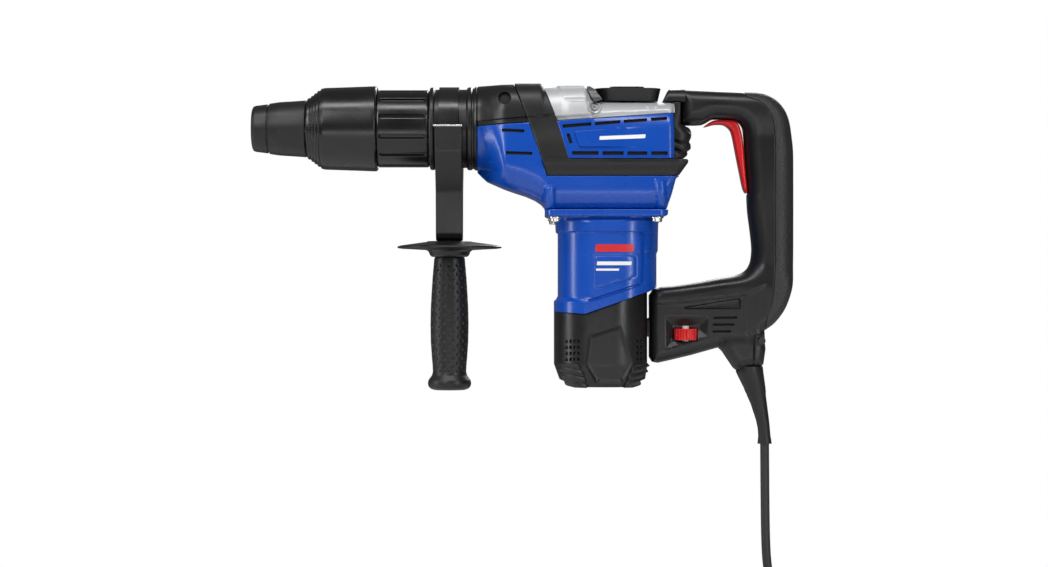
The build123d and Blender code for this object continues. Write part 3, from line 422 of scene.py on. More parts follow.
def double_sided(name, outline, depth, material, step=1.6, rings=(0.12, 0.35, 0.7, 1.2, 2.0, 3.2), loops=(), holes=(),
                 bridge=None, hole_depth=2.6, angle=32.0, across=6, paint=(), near=None):
    """A piece symmetric about the mid-plane: depth(points) is its half width at each point of the side view.

    bridge(point) says whether the edge there is closed across the mid-plane; holes get walls of hole_depth.
    near(points) is a cut made on the -Y side only. paint lists (outline, material) areas."""
    verts, tri = triangulate(outline, step, list(rings), list(loops), list(holes))
    y = depth(verts)
    area = np.cross(verts[tri[:, 1]] - verts[tri[:, 0]], verts[tri[:, 2]] - verts[tri[:, 0]])
    tri = np.where((area > 0)[:, None], tri, tri[:, ::-1])
    count = {}
    for t in tri:
        for a, b in ((t[0], t[1]), (t[1], t[2]), (t[2], t[0])):
            count[(a, b)] = 1
    border = [(a, b) for (a, b) in count if (b, a) not in count]
    out_v, out_f = [], []
    n = len(verts)
    sides = (-1, 1)
    half = {1: y, -1: y - near(verts) if near else y}
    base = {}
    for side in sides:
        base[side] = len(out_v)
        out_v += [(x * MM, side * yy * MM, z * MM) for (x, z), yy in zip(verts, half[side])]
        for t in tri:
            f = [base[side] + int(i) for i in t]
            out_f.append(tuple(f if side < 0 else f[::-1]))
    hole_edges = []
    for a, b in border:
        mid = (verts[a] + verts[b]) / 2
        near_hole = any(abs(signed_distance(mid[None], h)[0]) < 0.05 for h in holes)
        if near_hole:
            hole_edges.append((a, b))
        elif bridge is not None and bridge(mid):
            rows = []
            for v in (a, b):
                row = [base[-1] + int(v)]
                if y[v] > 0.02:
                    for k in range(1, across):
                        row.append(len(out_v))
                        f = -1 + 2 * k / across
                        out_v.append((verts[v][0] * MM, f * y[v] * MM, verts[v][1] * MM))
                    row.append(base[1] + int(v))
                else:
                    row = [base[-1] + int(v)] * across + [base[1] + int(v)]
                rows.append(row)
            for k in range(across):
                quad = [rows[1][k], rows[0][k], rows[0][k + 1], rows[1][k + 1]]
                quad = [q for i, q in enumerate(quad) if q not in quad[:i]]
                if len(quad) > 2:
                    out_f.append(tuple(quad))
    for side in sides:
        for a, b in hole_edges:
            ia, ib = base[side] + int(a), base[side] + int(b)
            ja, jb = len(out_v), len(out_v) + 1
            for v in (a, b):
                out_v.append((verts[v][0] * MM, side * (y[v] - hole_depth) * MM, verts[v][1] * MM))
            quad = (ib, ia, ja, jb)
            out_f.append(quad if side < 0 else quad[::-1])
    obj = make_object(name, out_v, out_f, material, angle)
    bm = bmesh.new()
    bm.from_mesh(obj.data)
    bmesh.ops.remove_doubles(bm, verts=bm.verts, dist=2e-6)
    bm.to_mesh(obj.data)
    bm.free()
    for area, colour in paint:
        obj.data.materials.append(MAT[colour])
        centres = np.array([(p.center.x / MM, p.center.z / MM) for p in obj.data.polygons])
        for i in np.nonzero(signed_distance(centres, area) > 0.05)[0]:
            obj.data.polygons[int(i)].material_index = len(obj.data.materials) - 1
    smooth(obj, angle)
    return obj


def lathe(name, profile, origin, axis, material, segments=192, closed=False, angle=30.0, shape=None):
    """Turned piece: profile of (station, radius) in mm along axis X or Z through origin (mm)."""
    profile = np.asarray(profile, float)
    verts, faces = [], []
    for s, r in profile:
        for k in range(segments):
            t = 2 * math.pi * k / segments
            rr = r + (shape(s, t, r) if shape else 0.0)
            c, d = rr * math.cos(t), rr * math.sin(t)
            p = {"X": (s, c, d), "Y": (c, s, d), "Z": (c, d, s)}[axis]
            verts.append(tuple((o + q) * MM for o, q in zip(origin, p)))
    rows = len(profile)
    for i in range(rows - 1 + (1 if closed else 0)):
        j = (i + 1) % rows
        for k in range(segments):
            m = (k + 1) % segments
            faces.append((i * segments + k, i * segments + m, j * segments + m, j * segments + k))
    if not closed:
        faces.append(tuple(range(segments)))
        faces.append(tuple((rows - 1) * segments + k for k in reversed(range(segments))))
    obj = make_object(name, verts, faces, material, angle)
    bm = bmesh.new()
    bm.from_mesh(obj.data)
    bmesh.ops.remove_doubles(bm, verts=bm.verts, dist=1e-6)
    bmesh.ops.recalc_face_normals(bm, faces=bm.faces)
    bm.to_mesh(obj.data)
    bm.free()
    smooth(obj, angle)
    return obj


def soften(profile, r=0.5, segments=4):
    """Turned profile with its corners rounded by r."""
    out = [np.asarray(profile[0], float)]
    for a, p, b in zip(profile[:-2], profile[1:-1], profile[2:]):
        tri = round_corners([a, p, b], [0, r, 0], segments)
        out += [q for q in tri[1:-1]]
    out.append(np.asarray(profile[-1], float))
    return np.array(out)


# ---------------------------------------------------------------- camera
SCENE = bpy.context.scene
cam_data = bpy.data.cameras.new("camera")
cam_data.lens = 82.0
cam_data.sensor_width = 36.0
cam = bpy.data.objects.new("camera", cam_data)
SCENE.collection.objects.link(cam)
cam.location = (-0.2165, -2.1, -0.0735)
cam.rotation_euler = (math.radians(90), 0, 0)
SCENE.camera = cam

# ---------------------------------------------------------------- cord
CORD_D = 0.008
FLOOR = -0.370
COIL_X, COIL_Y, COIL_R = -0.0495, -0.042, 0.045
PLUG_Z = FLOOR + 0.0184

# the put-away turns, as (column, row): each goes to the next in its first half turn, then stays there
COIL_SLOTS = [(3.7, 0), (3, 0), (2, 0), (1, 0), (0, 0), (1, 1), (2, 1), (3, 1), (2, 2), (1, 2), (0, 2), (1, 3), (2, 3), (3, 2)]


def coil_points(turns, start_angle, per_turn=20):
    """Control points of the put-away turns: they lie beside and on each other, a diameter apart."""
    slots = [(COIL_R + (c - 1.5) * CORD_D, FLOOR + CORD_D / 2 + row * CORD_D) for c, row in COIL_SLOTS]
    points = []
    for i in range(int(turns * per_turn) + 1):
        t = i / per_turn
        k = min(int(t), len(slots) - 1)
        f = min((t - k) / 0.5, 1.0)
        a, b = slots[k], slots[min(k + 1, len(slots) - 1)]
        w = f * f * (3 - 2 * f)
        r, z = a[0] + (b[0] - a[0]) * w, a[1] + (b[1] - a[1]) * w
        ang = start_angle + 2 * math.pi * t
        points.append((COIL_X + r * math.cos(ang), COIL_Y - r * math.sin(ang), z))
    return points


lead = [(-0.00485, 0.0, -0.2143), (-0.0044, 0.0015, -0.262), (-0.004, 0.0, -0.300), (-0.0028, -0.0015, -0.322),
        (0.0007, -0.0050, -0.3395), (0.0066, -0.0145, -0.3555), (0.0108, -0.0310, -0.3657)]
turns = coil_points(13.2, 0.157)
route = lead + turns + [(COIL_X - 0.018, COIL_Y - 0.0572, PLUG_Z + 0.001), (COIL_X - 0.036, COIL_Y - 0.0564, PLUG_Z),
                        (COIL_X - 0.0562, COIL_Y - 0.056, PLUG_Z)]
curve = bpy.data.curves.new("supply_cord", "CURVE")
curve.dimensions = "3D"
curve.bevel_depth = CORD_D / 2
curve.bevel_resolution = 6
curve.use_fill_caps = True
spline = curve.splines.new("NURBS")
spline.points.add(len(route) - 1)
for p, co in zip(spline.points, route):
    p.co = (*co, 1.0)
spline.order_u = 3
spline.use_endpoint_u = True
spline.resolution_u = 8
supply_cord = bpy.data.objects.new("supply_cord", curve)
SCENE.collection.objects.link(supply_cord)
supply_cord.data.materials.append(MAT["cable"])
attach(supply_cord, "d_handle")
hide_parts("cord", "cord_coil")

# ---------------------------------------------------------------- D-handle
seam = spline_through([(-23.8, 94.3), (-20.5, 89.5), (-10.0, 85.0), (-2.0, 76.0), (2.2, 60.0), (3.0, 30.0), (3.0, -30.0),
                       (2.6, -62.0), (0.5, -86.0), (-4.6, -103.0), (-6.0, -114.6)], 5)
back_edge = spline_through([(-6.0, -114.6), (1.8, -109.0), (7.9, -102.0), (12.3, -95.0), (15.2, -88.0),
                            (17.4, -81.0), (18.8, -73.9), (19.7, -64.0), (20.1, -50.0), (20.2, -20.0), (20.2, 20.0),
                            (20.0, 42.0), (18.6, 56.0), (16.4, 68.0), (13.2, 76.8), (8.8, 83.4), (3.0, 88.6),
                            (-3.6, 91.9), (-11.0, 93.7), (-23.8, 94.3)], 4)
front_edge = np.concatenate([
    [(-80.2, 96.6), (-80.2, 65.4), (-66.0, 65.4)],
    spline_through([(-60.5, 65.8), (-56.5, 67.6), (-52.0, 70.2), (-47.0, 70.6), (-35.0, 70.0), (-29.0, 68.6),
                    (-25.4, 64.6), (-24.0, 58.0), (-22.2, 33.0), (-20.3, 8.0), (-20.9, 3.0), (-20.2, -10.6),
                    (-18.4, -24.6), (-16.8, -38.7), (-16.7, -47.0), (-18.2, -56.0), (-22.5, -62.6),
                    (-30.0, -66.0), (-44.0, -68.6), (-61.6, -72.2), (-79.2, -75.0), (-96.0, -76.8)], 4),
    [(-103.0, -79.0), (-106.4, -84.0), (-106.4, -138.0), (-104.0, -142.2), (-99.5, -143.0)],
    [(-88.0, -140.4), (-70.4, -136.2), (-52.0, -131.0), (-46.2, -129.4), (-42.5, -133.0), (-33.0, -147.2),
     (-30.5, -149.4), (-27.0, -149.4), (-7.8, -146.2), (-6.2, -144.0), (-4.4, -131.0), (-5.6, -121.0)]])
handle_outline = np.concatenate([front_edge, back_edge])
top_line = [(-80.2, 96.6)]


def handle_depth(points, relief=True):
    d = signed_distance(points, handle_outline)
    z, x = points[:, 1], points[:, 0]
    up, low = ease((z - 52) / 26), ease((-z - 56) / 22)
    w = 16.8 + 2.2 * up + 3.4 * low
    r = 15.6 - 2.2 * up - 6.6 * low
    gland = ease((-z - 118) / 10) * ease((x + 48) / 6)
    w, r = w - 5.0 * gland, r + 1.5 * gland
    y = w - quarter(d, r)
    if not relief:
        return y
    # lower half of the arm is stepped in under a rounded rail
    rail = [(-120, -90.9), (-106.5, -90.6), (-77.0, -88.9), (-22.9, -82.7), (-4.4, -72.6)]
    below = -above_line(points, rail)
    arm = ease((-x - 1) / 12) * ease((-60 - z) / 8)
    y -= 1.5 * ease(below / 2.2) * arm
    y -= 0.9 * np.exp(-(line_distance(points, [(-24.6, -84), (-24.6, -113), (-20.0, -119.0), (-16.9, -146)]) / 0.45) ** 2)
    tri = signed_distance(points, wedge)
    y -= 2.8 * ease(tri / 1.0)
    for slot in vents:
        y -= 2.6 * ease(signed_distance(points, slot) / 0.35)
    hole = np.hypot(x + 8.6, z + 123.0)
    y -= 3.4 * ease((3.2 - hole) / 0.5)
    boss = signed_distance(points, gland_boss)
    y += 2.4 * ease(boss / 1.6)
    return y


wedge = round_corners([(-76.7, -94.0), (-76.7, -95.9), (-27.6, -95.9), (-27.6, -86.0)], [0.6, 0.6, 1.5, 2.0])
wheel_recess = round_corners([(-93.3, -102.1), (-55.4, -102.4), (-56.4, -119.8), (-93.3, -131.2)], 1.0)
vents = [round_corners([(-51.4 - 0.3 * k, z - 1.15), (-30.6 - 2.6 * k, z - 0.75), (-30.6 - 2.6 * k, z + 1.15), (-51.4 - 0.3 * k, z + 1.15)], 0.7)
         for k, z in enumerate((-103.4, -109.4, -115.4))]
gland_boss = round_corners([(-16.2, -117.5), (-7.0, -117.0), (-5.6, -121.0), (-4.6, -131.0), (-6.6, -144.4), (-16.2, -146.6)], 2.0)


def inset_loop(poly, d):
    """Loop drawn in by d, for the foot of a feature's wall."""
    poly = resample(poly, 1.0)
    t = np.roll(poly, -1, 0) - np.roll(poly, 1, 0)
    nrm = np.stack([-t[:, 1], t[:, 0]], 1) / np.maximum(np.linalg.norm(t, axis=1), 1e-9)[:, None]
    if (signed_distance(poly + nrm * 0.05, poly) > 0).mean() < 0.5:
        nrm = -nrm
    return poly + nrm * d


def strips(line, offsets):
    """Lines beside a polyline, so that the mesh can carry a groove along it."""
    line = resample(line, 0.9, False)
    t = np.gradient(line, axis=0)
    nrm = np.stack([-t[:, 1], t[:, 0]], 1) / np.maximum(np.linalg.norm(t, axis=1), 1e-9)[:, None]
    return [line + nrm * d for d in offsets]


def circle(x, z, r, n=28):
    return np.array([(x + r * math.cos(2 * math.pi * k / n), z + r * math.sin(2 * math.pi * k / n)) for k in range(n)])


shell_outline = np.concatenate([front_edge, seam[::-1]])
grip_outline = np.concatenate([seam, back_edge[1:-1]])
feature_loops = [(wedge, True), (inset_loop(wedge, 0.9), True), (wheel_recess, True)]
feature_loops += [(v, True) for v in vents] + [(inset_loop(v, 0.35), True) for v in vents]
feature_loops += [(circle(-8.6, -123.0, 3.2), True), (circle(-8.6, -123.0, 2.7), True), (gland_boss, True),
                  (inset_loop(gland_boss, 1.6), True)]
wheel_slot = round_corners([(-85.8, -124.2), (-85.8, -112.0), (-64.8, -112.0), (-64.8, -124.2)], 0.6)
feature_loops += [(wheel_slot, True), (inset_loop(wheel_slot, 0.5), True)]


def seam_dip(points, poly):
    """Small rounded edge where two mouldings meet along the seam."""
    return quarter(line_distance(points, poly), 0.8) * 0.8


def wheel_well(points):
    """Sloping well with a deeper slot for the speed dial."""
    well = np.minimum(np.maximum(signed_distance(points, wheel_recess), 0) * 0.62, 4.6)
    return well + 4.0 * ease(signed_distance(points, wheel_slot) / 0.5)


# the handle's vent floors are painted near-black as painted shade
handle_shell = double_sided(
    "handle_shell", shell_outline, lambda p: handle_depth(p) - seam_dip(p, seam), "black", step=1.7,
    loops=feature_loops, near=wheel_well, paint=[(v, "painted_shade") for v in vents],
    bridge=lambda m: line_distance(m[None], seam)[0] > 0.3)
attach(handle_shell, "d_handle")
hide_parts("handle_left", "handle_right")

soft_grip = double_sided(
    "soft_grip_cover", grip_outline, lambda p: handle_depth(p, False) + 0.25 - seam_dip(p, seam) * 1.2, "stipple",
    step=1.5, bridge=lambda m: line_distance(m[None], seam)[0] > 0.3)
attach(soft_grip, "d_handle")
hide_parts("soft_grip")

trigger_outline = round_corners(
    list(spline_through([(-58.6, 64.0), (-54.5, 67.4), (-49.0, 69.6), (-40.0, 69.9), (-33.0, 69.4), (-28.5, 66.6),
                         (-26.0, 60.0), (-24.2, 50.0), (-22.6, 30.0), (-20.8, 10.0), (-20.9, 6.0), (-22.6, 6.6),
                         (-24.6, 11.5), (-27.4, 25.0), (-30.4, 40.0), (-33.2, 54.5), (-35.2, 60.8), (-38.6, 64.4),
                         (-43.0, 66.1), (-50.0, 65.9), (-55.0, 64.6)], 4, True)), 0)


def trigger_depth(points):
    return 8.6 - quarter(signed_distance(points, trigger_outline), 2.6) * 1.05


trigger = double_sided("trigger_paddle", trigger_outline, trigger_depth, "red", step=1.1,
                       rings=(0.1, 0.3, 0.6, 1.0, 1.6, 2.4), bridge=lambda m: True)
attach(trigger, "trigger")
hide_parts("trigger")

# speed dial: a fluted wheel seen through its slot
dial = lathe("speed_dial", soften([(-5.0, 3.0), (-5.0, 9.4), (-4.4, 10.0), (4.4, 10.0), (5.0, 9.4), (5.0, 3.0)], 0.3),
             (-75.3, -14.0, -118.0), "Z", "red", 240, closed=True,
             shape=lambda s, t, r: -0.55 * max(0.0, math.cos(20 * t)) ** 3 if r > 9 else 0.0)
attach(dial, "thumbwheel")
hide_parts("thumbwheel")

# cord boot: tapered rubber sleeve with a flared foot
boot_rows = [(-146.4, -18.4, 11.7), (-151.4, -18.0, 11.8), (-158.4, -15.8, 10.6), (-165.4, -13.6, 9.3),
             (-172.5, -11.9, 8.3), (-179.5, -9.9, 7.2), (-186.6, -8.3, 6.5), (-193.6, -6.7, 5.8), (-200.6, -5.6, 5.4),
             (-207.0, -5.1, 5.4), (-211.0, -4.9, 5.9), (-214.3, -4.85, 6.3)]
boot_z = np.array([r[0] for r in boot_rows])[::-1]
boot_x = np.array([r[1] for r in boot_rows])[::-1]
boot_r = np.array([r[2] for r in boot_rows])[::-1]
verts, faces = [], []
stations = np.linspace(-146.4, -214.3, 90)
for z in stations:
    cx, r = np.interp(z, boot_z, boot_x), np.interp(z, boot_z, boot_r)
    for k in range(64):
        t = 2 * math.pi * k / 64
        ridge = 0.28 * math.cos(t * 2) if z > -170 else 0
        verts.append(((cx + (r + ridge) * math.cos(t)) * MM, (r - 0.6) * math.sin(t) * MM, z * MM))
for i in range(len(stations) - 1):
    for k in range(64):
        faces.append((i * 64 + k, i * 64 + (k + 1) % 64, (i + 1) * 64 + (k + 1) % 64, (i + 1) * 64 + k))
faces.append(tuple(reversed(range(64))))
faces.append(tuple((len(stations) - 1) * 64 + k for k in range(64)))
boot = make_object("cord_sleeve", verts, faces, "rubber")
bm = bmesh.new()
bm.from_mesh(boot.data)
bmesh.ops.recalc_face_normals(bm, faces=bm.faces)
bm.to_mesh(boot.data)
bm.free()
smooth(boot, 40)
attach(boot, "d_handle")
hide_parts("cord_boot")


# ---------------------------------------------------------------- upper housing
TOP = [(-264.0, 99.44), (-256.08, 99.44), (-225.54, 100.14), (-201.52, 100.14), (-198.88, 96.8), (-187.88, 97.33), (-163.68, 98.56), (-160.69, 93.72),
       (-155.76, 84.22), (-85.8, 83.69), (-61.6, 83.69)]
BELLY = [(-264.0, 26.4), (-257.4, 23.76), (-253.44, 19.8), (-249.04, 15.84), (-242.0, 13.2), (-233.2, 9.68), (-224.4, 6.6), (-214.72, 3.52),
         (-206.8, 0.0), (-201.52, -3.52), (-198.0, -7.48), (-198.0, -14.7), (-92.4, -14.7)]


def lower_rear(z):
    """X of the housing's rear edge below its shelf."""
    return np.interp(z, [-14.96, -10.56, 18.48, 19.36, 33.44, 34.32],
                     [-93.28, -93.1, -85.01, -83.25, -73.04, -87.12])


def body_depth(points, relief=True):
    x, z = points[:, 0], points[:, 1]
    up = ease((z - 26) / 60)
    w = 49.5 - 8.0 * up
    top = np.maximum(-above_line(points, TOP), 0)
    low = np.maximum(above_line(points, BELLY), 0)
    rear = np.maximum(-86.9 - x, 0)
    rear = np.where(z < 20, np.maximum(lower_rear(z) - x, 0) * 0.97, rear)
    y = w - quarter(top, 25.0) - quarter(low * 0.86, 20.0) - quarter(rear, 5.5 + 3.0 * ease((20 - z) / 6))
    round_front = np.sqrt(np.maximum(37.5 ** 2 - np.minimum(np.abs(z - AX), 37.4) ** 2, 0))
    f = ease((x + 258) / 26)
    y = round_front * (1 - f) + y * f
    return np.maximum(y, 1.0)


def slot_quads(rows):
    return [round_corners(r, 0.6, 4) for r in rows]


def relief_of(points, outlines, depth, wall=0.5):
    out = np.zeros(len(points))
    for o in outlines:
        out = np.maximum(out, ease(signed_distance(points, o) / wall))
    return out * depth


CREASE = [(-264.0, 66.35), (-244.64, 68.29), (-214.28, 70.75), (-190.08, 72.86)]
front_hole = circle(-233.2, 86.86, 5.7)
front_cover_outline = [(-257.4, 62.83), (-257.4, 98.21), (-256.08, 99.44), (-225.37, 100.14), (-213.93, 68.82), (-212.61, 65.74)]


def front_cover_depth(p):
    y = body_depth(p)
    under = -above_line(p, CREASE)
    y -= 1.7 * ease(under / 1.0)
    seam = signed_distance(p, front_cover_outline)
    # raised land behind a crease that falls away to the nose
    slope = [(-248.16, 100.32), (-243.32, 68.29)]
    ahead = np.interp(p[:, 1], [slope[1][1], slope[0][1]], [slope[1][0], slope[0][0]]) - p[:, 0]
    y -= np.clip(ahead, 0, 14) * 0.16
    return y - quarter(seam, 0.7)


front_cover = double_sided("nose_cover", front_cover_outline, front_cover_depth, "black", step=1.5, rings=(0.15, 0.4, 0.8, 1.4),
                           loops=[(CREASE[1:3], False), ([(a, b - 1.0) for a, b in CREASE[1:3]], False)],
                           holes=[front_hole], hole_depth=7.0,
                           bridge=lambda m: m[1] > 98.12 or m[0] < -257.22)
front_blue_outline = np.concatenate([[(-257.4, 62.48), (-212.43, 65.38), (-200.99, 33.44), (-196.94, 19.01), (-82.54, 19.01),
                                      (-85.18, 17.95), (-87.12, 10.56), (-89.06, 3.52), (-91.52, -3.52), (-93.28, -9.15)],
                                     [(-197.82, -9.15), (-198.35, -7.04)], BELLY[9:0:-1]])
front_slots = slot_quads([[(-235.58, 60.1), (-216.13, 59.14), (-216.13, 56.41), (-235.58, 57.29)],
                          [(-232.32, 40.3), (-209.26, 39.69), (-209.26, 36.96), (-232.32, 37.58)]])
boss_left, boss_right = -194.48, -97.33


def front_blue_depth(p):
    y = body_depth(p)
    x, z = p[:, 0], p[:, 1]
    ahead = np.interp(z, [29.04, 62.48], [-234.34, -243.32]) - x
    fade = ease((z - 21.12) / 10)
    y -= np.clip(ahead, 0, 12) * 0.26 * fade
    # screw bosses run down to the flange
    for bx, top, r, lean in ((boss_left, 11.88, 4.6, 0.0), (boss_right, 17.16, 4.4, 0.10)):
        off = np.abs(x - bx + (z - flange_top) * lean) / r
        bulge = np.sqrt(np.maximum(1 - off ** 2, 0)) * 4.2
        y += bulge * ease((top - z) / 3.0)
    y -= relief_of(p, front_slots, 2.4)
    seam = signed_distance(p, front_blue_outline)
    return y - quarter(np.where(low_edge(p), 9.0, seam), 0.7)


flange_top = -9.33


def low_edge(p):
    return (above_line(p, BELLY) < 3) | (np.abs(lower_rear(p[:, 1]) - p[:, 0]) < 3)


# the front vent slot floors are painted near-black as painted shade
front_blue = double_sided("lower_housing", front_blue_outline, front_blue_depth, "blue", step=1.7,
                          loops=[(s, True) for s in front_slots] + [(inset_loop(s, 0.5), True) for s in front_slots],
                          paint=[(s, "painted_shade") for s in front_slots],
                          bridge=lambda m: bool(low_edge(m[None])[0]) or m[0] < -256.96 or m[1] < -8.8)
flange_outline = round_corners([(-198.0, -9.59), (-92.4, -9.59), (-92.05, -11.44), (-92.75, -14.61), (-96.8, -15.49), (-194.48, -15.49), (-198.0, -14.08)],
                               [0.3, 0.3, 1.0, 1.2, 1.5, 1.5, 1.2])


def flange_depth(p):
    x = p[:, 0]
    ends = np.minimum(x - -198.0, -92.14 - x)
    return 50.6 - quarter(np.maximum(ends, 0), 9.0) - quarter(signed_distance(p, flange_outline), 1.0)


flange = double_sided("motor_flange", flange_outline, flange_depth, "blue", step=1.4, rings=(0.15, 0.4, 0.8, 1.2),
                      bridge=lambda m: True)

STRAP = [(-225.19, 101.02), (-201.52, 101.02), (-199.23, 98.03), (-187.97, 67.76), (-178.11, 33.79), (-72.86, 33.62), (-83.07, 19.36),
         (-196.59, 19.36), (-200.82, 33.44), (-213.66, 68.99)]
strap_outline = round_corners(STRAP, [1.2, 2.5, 3.0, 0, 1.2, 2.2, 3.0, 2.5, 0, 0])


def strap_depth(p):
    x, z = p[:, 0], p[:, 1]
    top = np.maximum(-above_line(p, TOP) + 0.8, 0)
    y = 49.5 - 8.0 * ease((z - 26) / 60) - quarter(top, 25.0) + 0.9
    under = -above_line(p, CREASE)
    y -= 1.4 * ease(under / 1.0) * ease((z - 44.0) / 20)
    band = ease((34.32 - z) / 1.2)
    y += 2.3 * band
    rear = np.maximum(np.interp(z, [19.36, 33.62], [-82.72, -72.86]) - x, 0)
    y -= quarter(rear, 10.0)
    y -= 3.4 * ease((30.8 - z) / 9.0) * band
    edge = signed_distance(p, strap_outline)
    return np.maximum(y - quarter(edge, 1.1), 1.0)


band_line = [(-201.96, 34.32), (-177.32, 34.32)]
strap = double_sided("strap_bumper", strap_outline, strap_depth, "rubber", step=1.5,
                     loops=[(CREASE[2:], False), (band_line, False), ([(a, b - 1.2) for a, b in band_line], False)],
                     bridge=lambda m: m[1] > 100.32 or m[0] > -83.6)

# rear side panels
panel_outline = round_corners([(-188.06, 66.7), (-86.94, 74.1), (-86.94, 34.14), (-178.64, 34.14)], [0.5, 1.5, 0.5, 0.5])
panel_slots = slot_quads(
    [[(-183.3, 63.45), (-158.49, 65.47), (-158.49, 62.48), (-183.3, 60.37)], [(-155.5, 65.65), (-133.5, 67.41), (-133.5, 64.5), (-155.5, 62.57)],
     [(-130.5, 67.67), (-110.53, 69.17), (-110.53, 66.18), (-130.5, 64.68)], [(-107.1, 69.43), (-93.02, 70.4), (-93.02, 67.5), (-107.1, 66.44)],
     [(-175.3, 40.3), (-152.33, 40.3), (-152.33, 36.96), (-175.3, 37.14)], [(-149.07, 40.22), (-130.77, 40.22), (-130.77, 36.87), (-149.07, 36.87)],
     [(-127.6, 40.13), (-110.53, 40.13), (-110.53, 36.87), (-127.6, 36.87)], [(-107.1, 40.13), (-93.02, 40.13), (-93.02, 36.87), (-107.1, 36.87)],
     [(-180.05, 55.18), (-177.32, 55.79), (-174.59, 47.52), (-177.41, 46.64)]])
label_plate = round_corners([(-173.54, 57.73), (-103.84, 62.22), (-99.0, 43.21), (-168.96, 43.82)], [0.8, 2.0, 2.0, 0.8])


def panel_depth(p):
    x, z = p[:, 0], p[:, 1]
    y = body_depth(p)
    y -= relief_of(p, panel_slots, 2.6, 0.4)
    plate = ease(signed_distance(p, label_plate) / 0.8)
    y += plate * 1.7 * ease((-103.84 - x) / 60)
    return y - quarter(signed_distance(p, panel_outline), 0.6)


# the panel vent slot floors are painted near-black as painted shade
panel = double_sided("side_panels", panel_outline, panel_depth, "blue", step=1.5, rings=(0.15, 0.4, 0.8, 1.4, 2.4),
                     loops=[(s, True) for s in panel_slots] + [(inset_loop(s, 0.4), True) for s in panel_slots]
                     + [(label_plate, True), (inset_loop(label_plate, 0.7), True)],
                     paint=[(q, "painted_shade") for q in panel_slots],
                     bridge=lambda m: m[0] > -87.12)
# silver crown: step, rib and screw bosses over the plain casting
crown_outline = [(-198.97, 96.62), (-188.32, 97.5), (-187.0, 98.91), (-164.56, 99.09), (-163.15, 98.38), (-160.69, 93.72), (-155.76, 84.39),
                 (-85.71, 83.86), (-85.71, 74.62), (-188.32, 67.23)]
BEVEL = [(-190.43, 71.81), (-158.4, 73.92), (-85.71, 77.79)]


def crown_depth(p):
    x, z = p[:, 0], p[:, 1]
    top = np.maximum(-above_line(p, TOP), 0)
    y = 41.5 - quarter(top, 24.0)
    y -= quarter(np.maximum(-86.9 - x, 0), 5.0)
    ridge = ease((x - -187.62 - (98.56 - z) * 0.42) / 0.9) * ease((-160.6 - x + (92.4 - z) * 0.4) / 1.0)
    y += 1.3 * ridge * ease((z - 85.36) / 2.0)
    shelf = ease((84.3 - z) / 0.8) * ease((x - -184.8) / 8)
    y += 1.2 * shelf
    under = -above_line(p, BEVEL)
    y -= 2.2 * ease(under / 3.2)
    boss = np.hypot(x - -155.58, z - 79.2)
    y += 2.6 * ease((6.4 - boss) / 0.8)
    y -= 3.6 * ease((4.4 - boss) / 0.5)
    y += 2.4 * ease((2.9 - boss) / 0.4)
    y -= 3.0 * ease((1.5 - boss) / 0.3)
    flat = np.hypot((x - -105.86) / 1.0, (z - 81.31) / 0.45)
    y += 1.0 * ease((6.2 - flat) / 0.8) - 0.8 * ease((4.6 - flat) / 0.6)
    return np.maximum(y - quarter(signed_distance(p, crown_outline), 0.4), 1.0)


boss_rings = [(circle(-155.58, 79.2, r, 32), True) for r in (6.4, 5.6, 4.4, 3.9, 2.9, 2.5)]
crown = double_sided("crown_casting", crown_outline, crown_depth, "silver", step=1.3, rings=(0.15, 0.4, 0.8),
                     loops=boss_rings + [(BEVEL, False), ([(a, b - 3.2) for a, b in BEVEL], False)],
                     bridge=lambda m: m[1] > 83.42)
for obj, nodes in ((front_cover, ["front_cover"]), (front_blue, ["lower_cover"]), (strap, ["bumper"]),
                   (panel, ["side_panel_left", "side_panel_right"]), (flange, []), (crown, [])):
    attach(obj, "housing")
    if nodes:
        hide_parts(*nodes)

# ---------------------------------------------------------------- motor housing and cap
motor_outline = [(-194.48, -15.31), (-95.92, -15.31), (-99.09, -21.12), (-99.44, -44.88), (-100.67, -47.52), (-100.67, -77.35), (-164.03, -99.62), (-190.08, -97.86),
                 (-190.17, -89.23), (-188.14, -87.47), (-186.74, -84.48), (-186.74, -30.1), (-188.5, -28.16), (-188.94, -20.24)]
groove = round_corners([(-186.38, -30.27), (-114.93, -30.27), (-114.05, -30.98), (-114.05, -72.34), (-116.16, -74.27), (-135.08, -80.43), (-151.89, -85.89),
                        (-159.72, -88.18), (-188.32, -88.18)], [0, 3.2, 0, 3.4, 0, 0, 0, 2, 0])
groove = groove[1:-1]
plate = round_corners([(-155.85, -50.07), (-120.03, -50.07), (-120.03, -67.58), (-155.85, -78.67)], [0.8, 2.0, 1.6, 0.8])


def motor_depth(p):
    x, z = p[:, 0], p[:, 1]
    left = np.interp(z, [-97.68, -88.88, -85.36, -29.92, -28.16, -20.24, -15.31],
                     [-190.08, -190.08, -186.74, -186.74, -188.76, -188.94, -194.48])
    right = np.interp(z, [-76.56, -47.52, -44.88, -21.12, -15.31],
                      [-100.67, -100.67, -99.44, -99.26, -95.92])
    side = np.minimum(x - left, right - x)
    y = 47.5 - quarter(np.maximum(side, 0), 36.0)
    y += 1.4 * ease((z - -29.57) / 1.4) + 1.4 * ease((-88.0 - z) / 1.6) * ease((-158.4 - x) / 6)
    y -= 1.9 * np.exp(-(line_distance(p, groove) / 1.05) ** 4)
    y -= 0.5 * np.exp(-(line_distance(p, np.vstack([plate, plate[:1]])) / 0.45) ** 2)
    inside = signed_distance(p, plate)
    y += 0.35 * ease(inside / 0.6)
    y -= quarter(np.maximum(-15.31 - z, 0), 3.0) * 0.0
    y -= 3.5 * ease((z - -20.24) / 4.0)
    return np.maximum(y, 0.5)


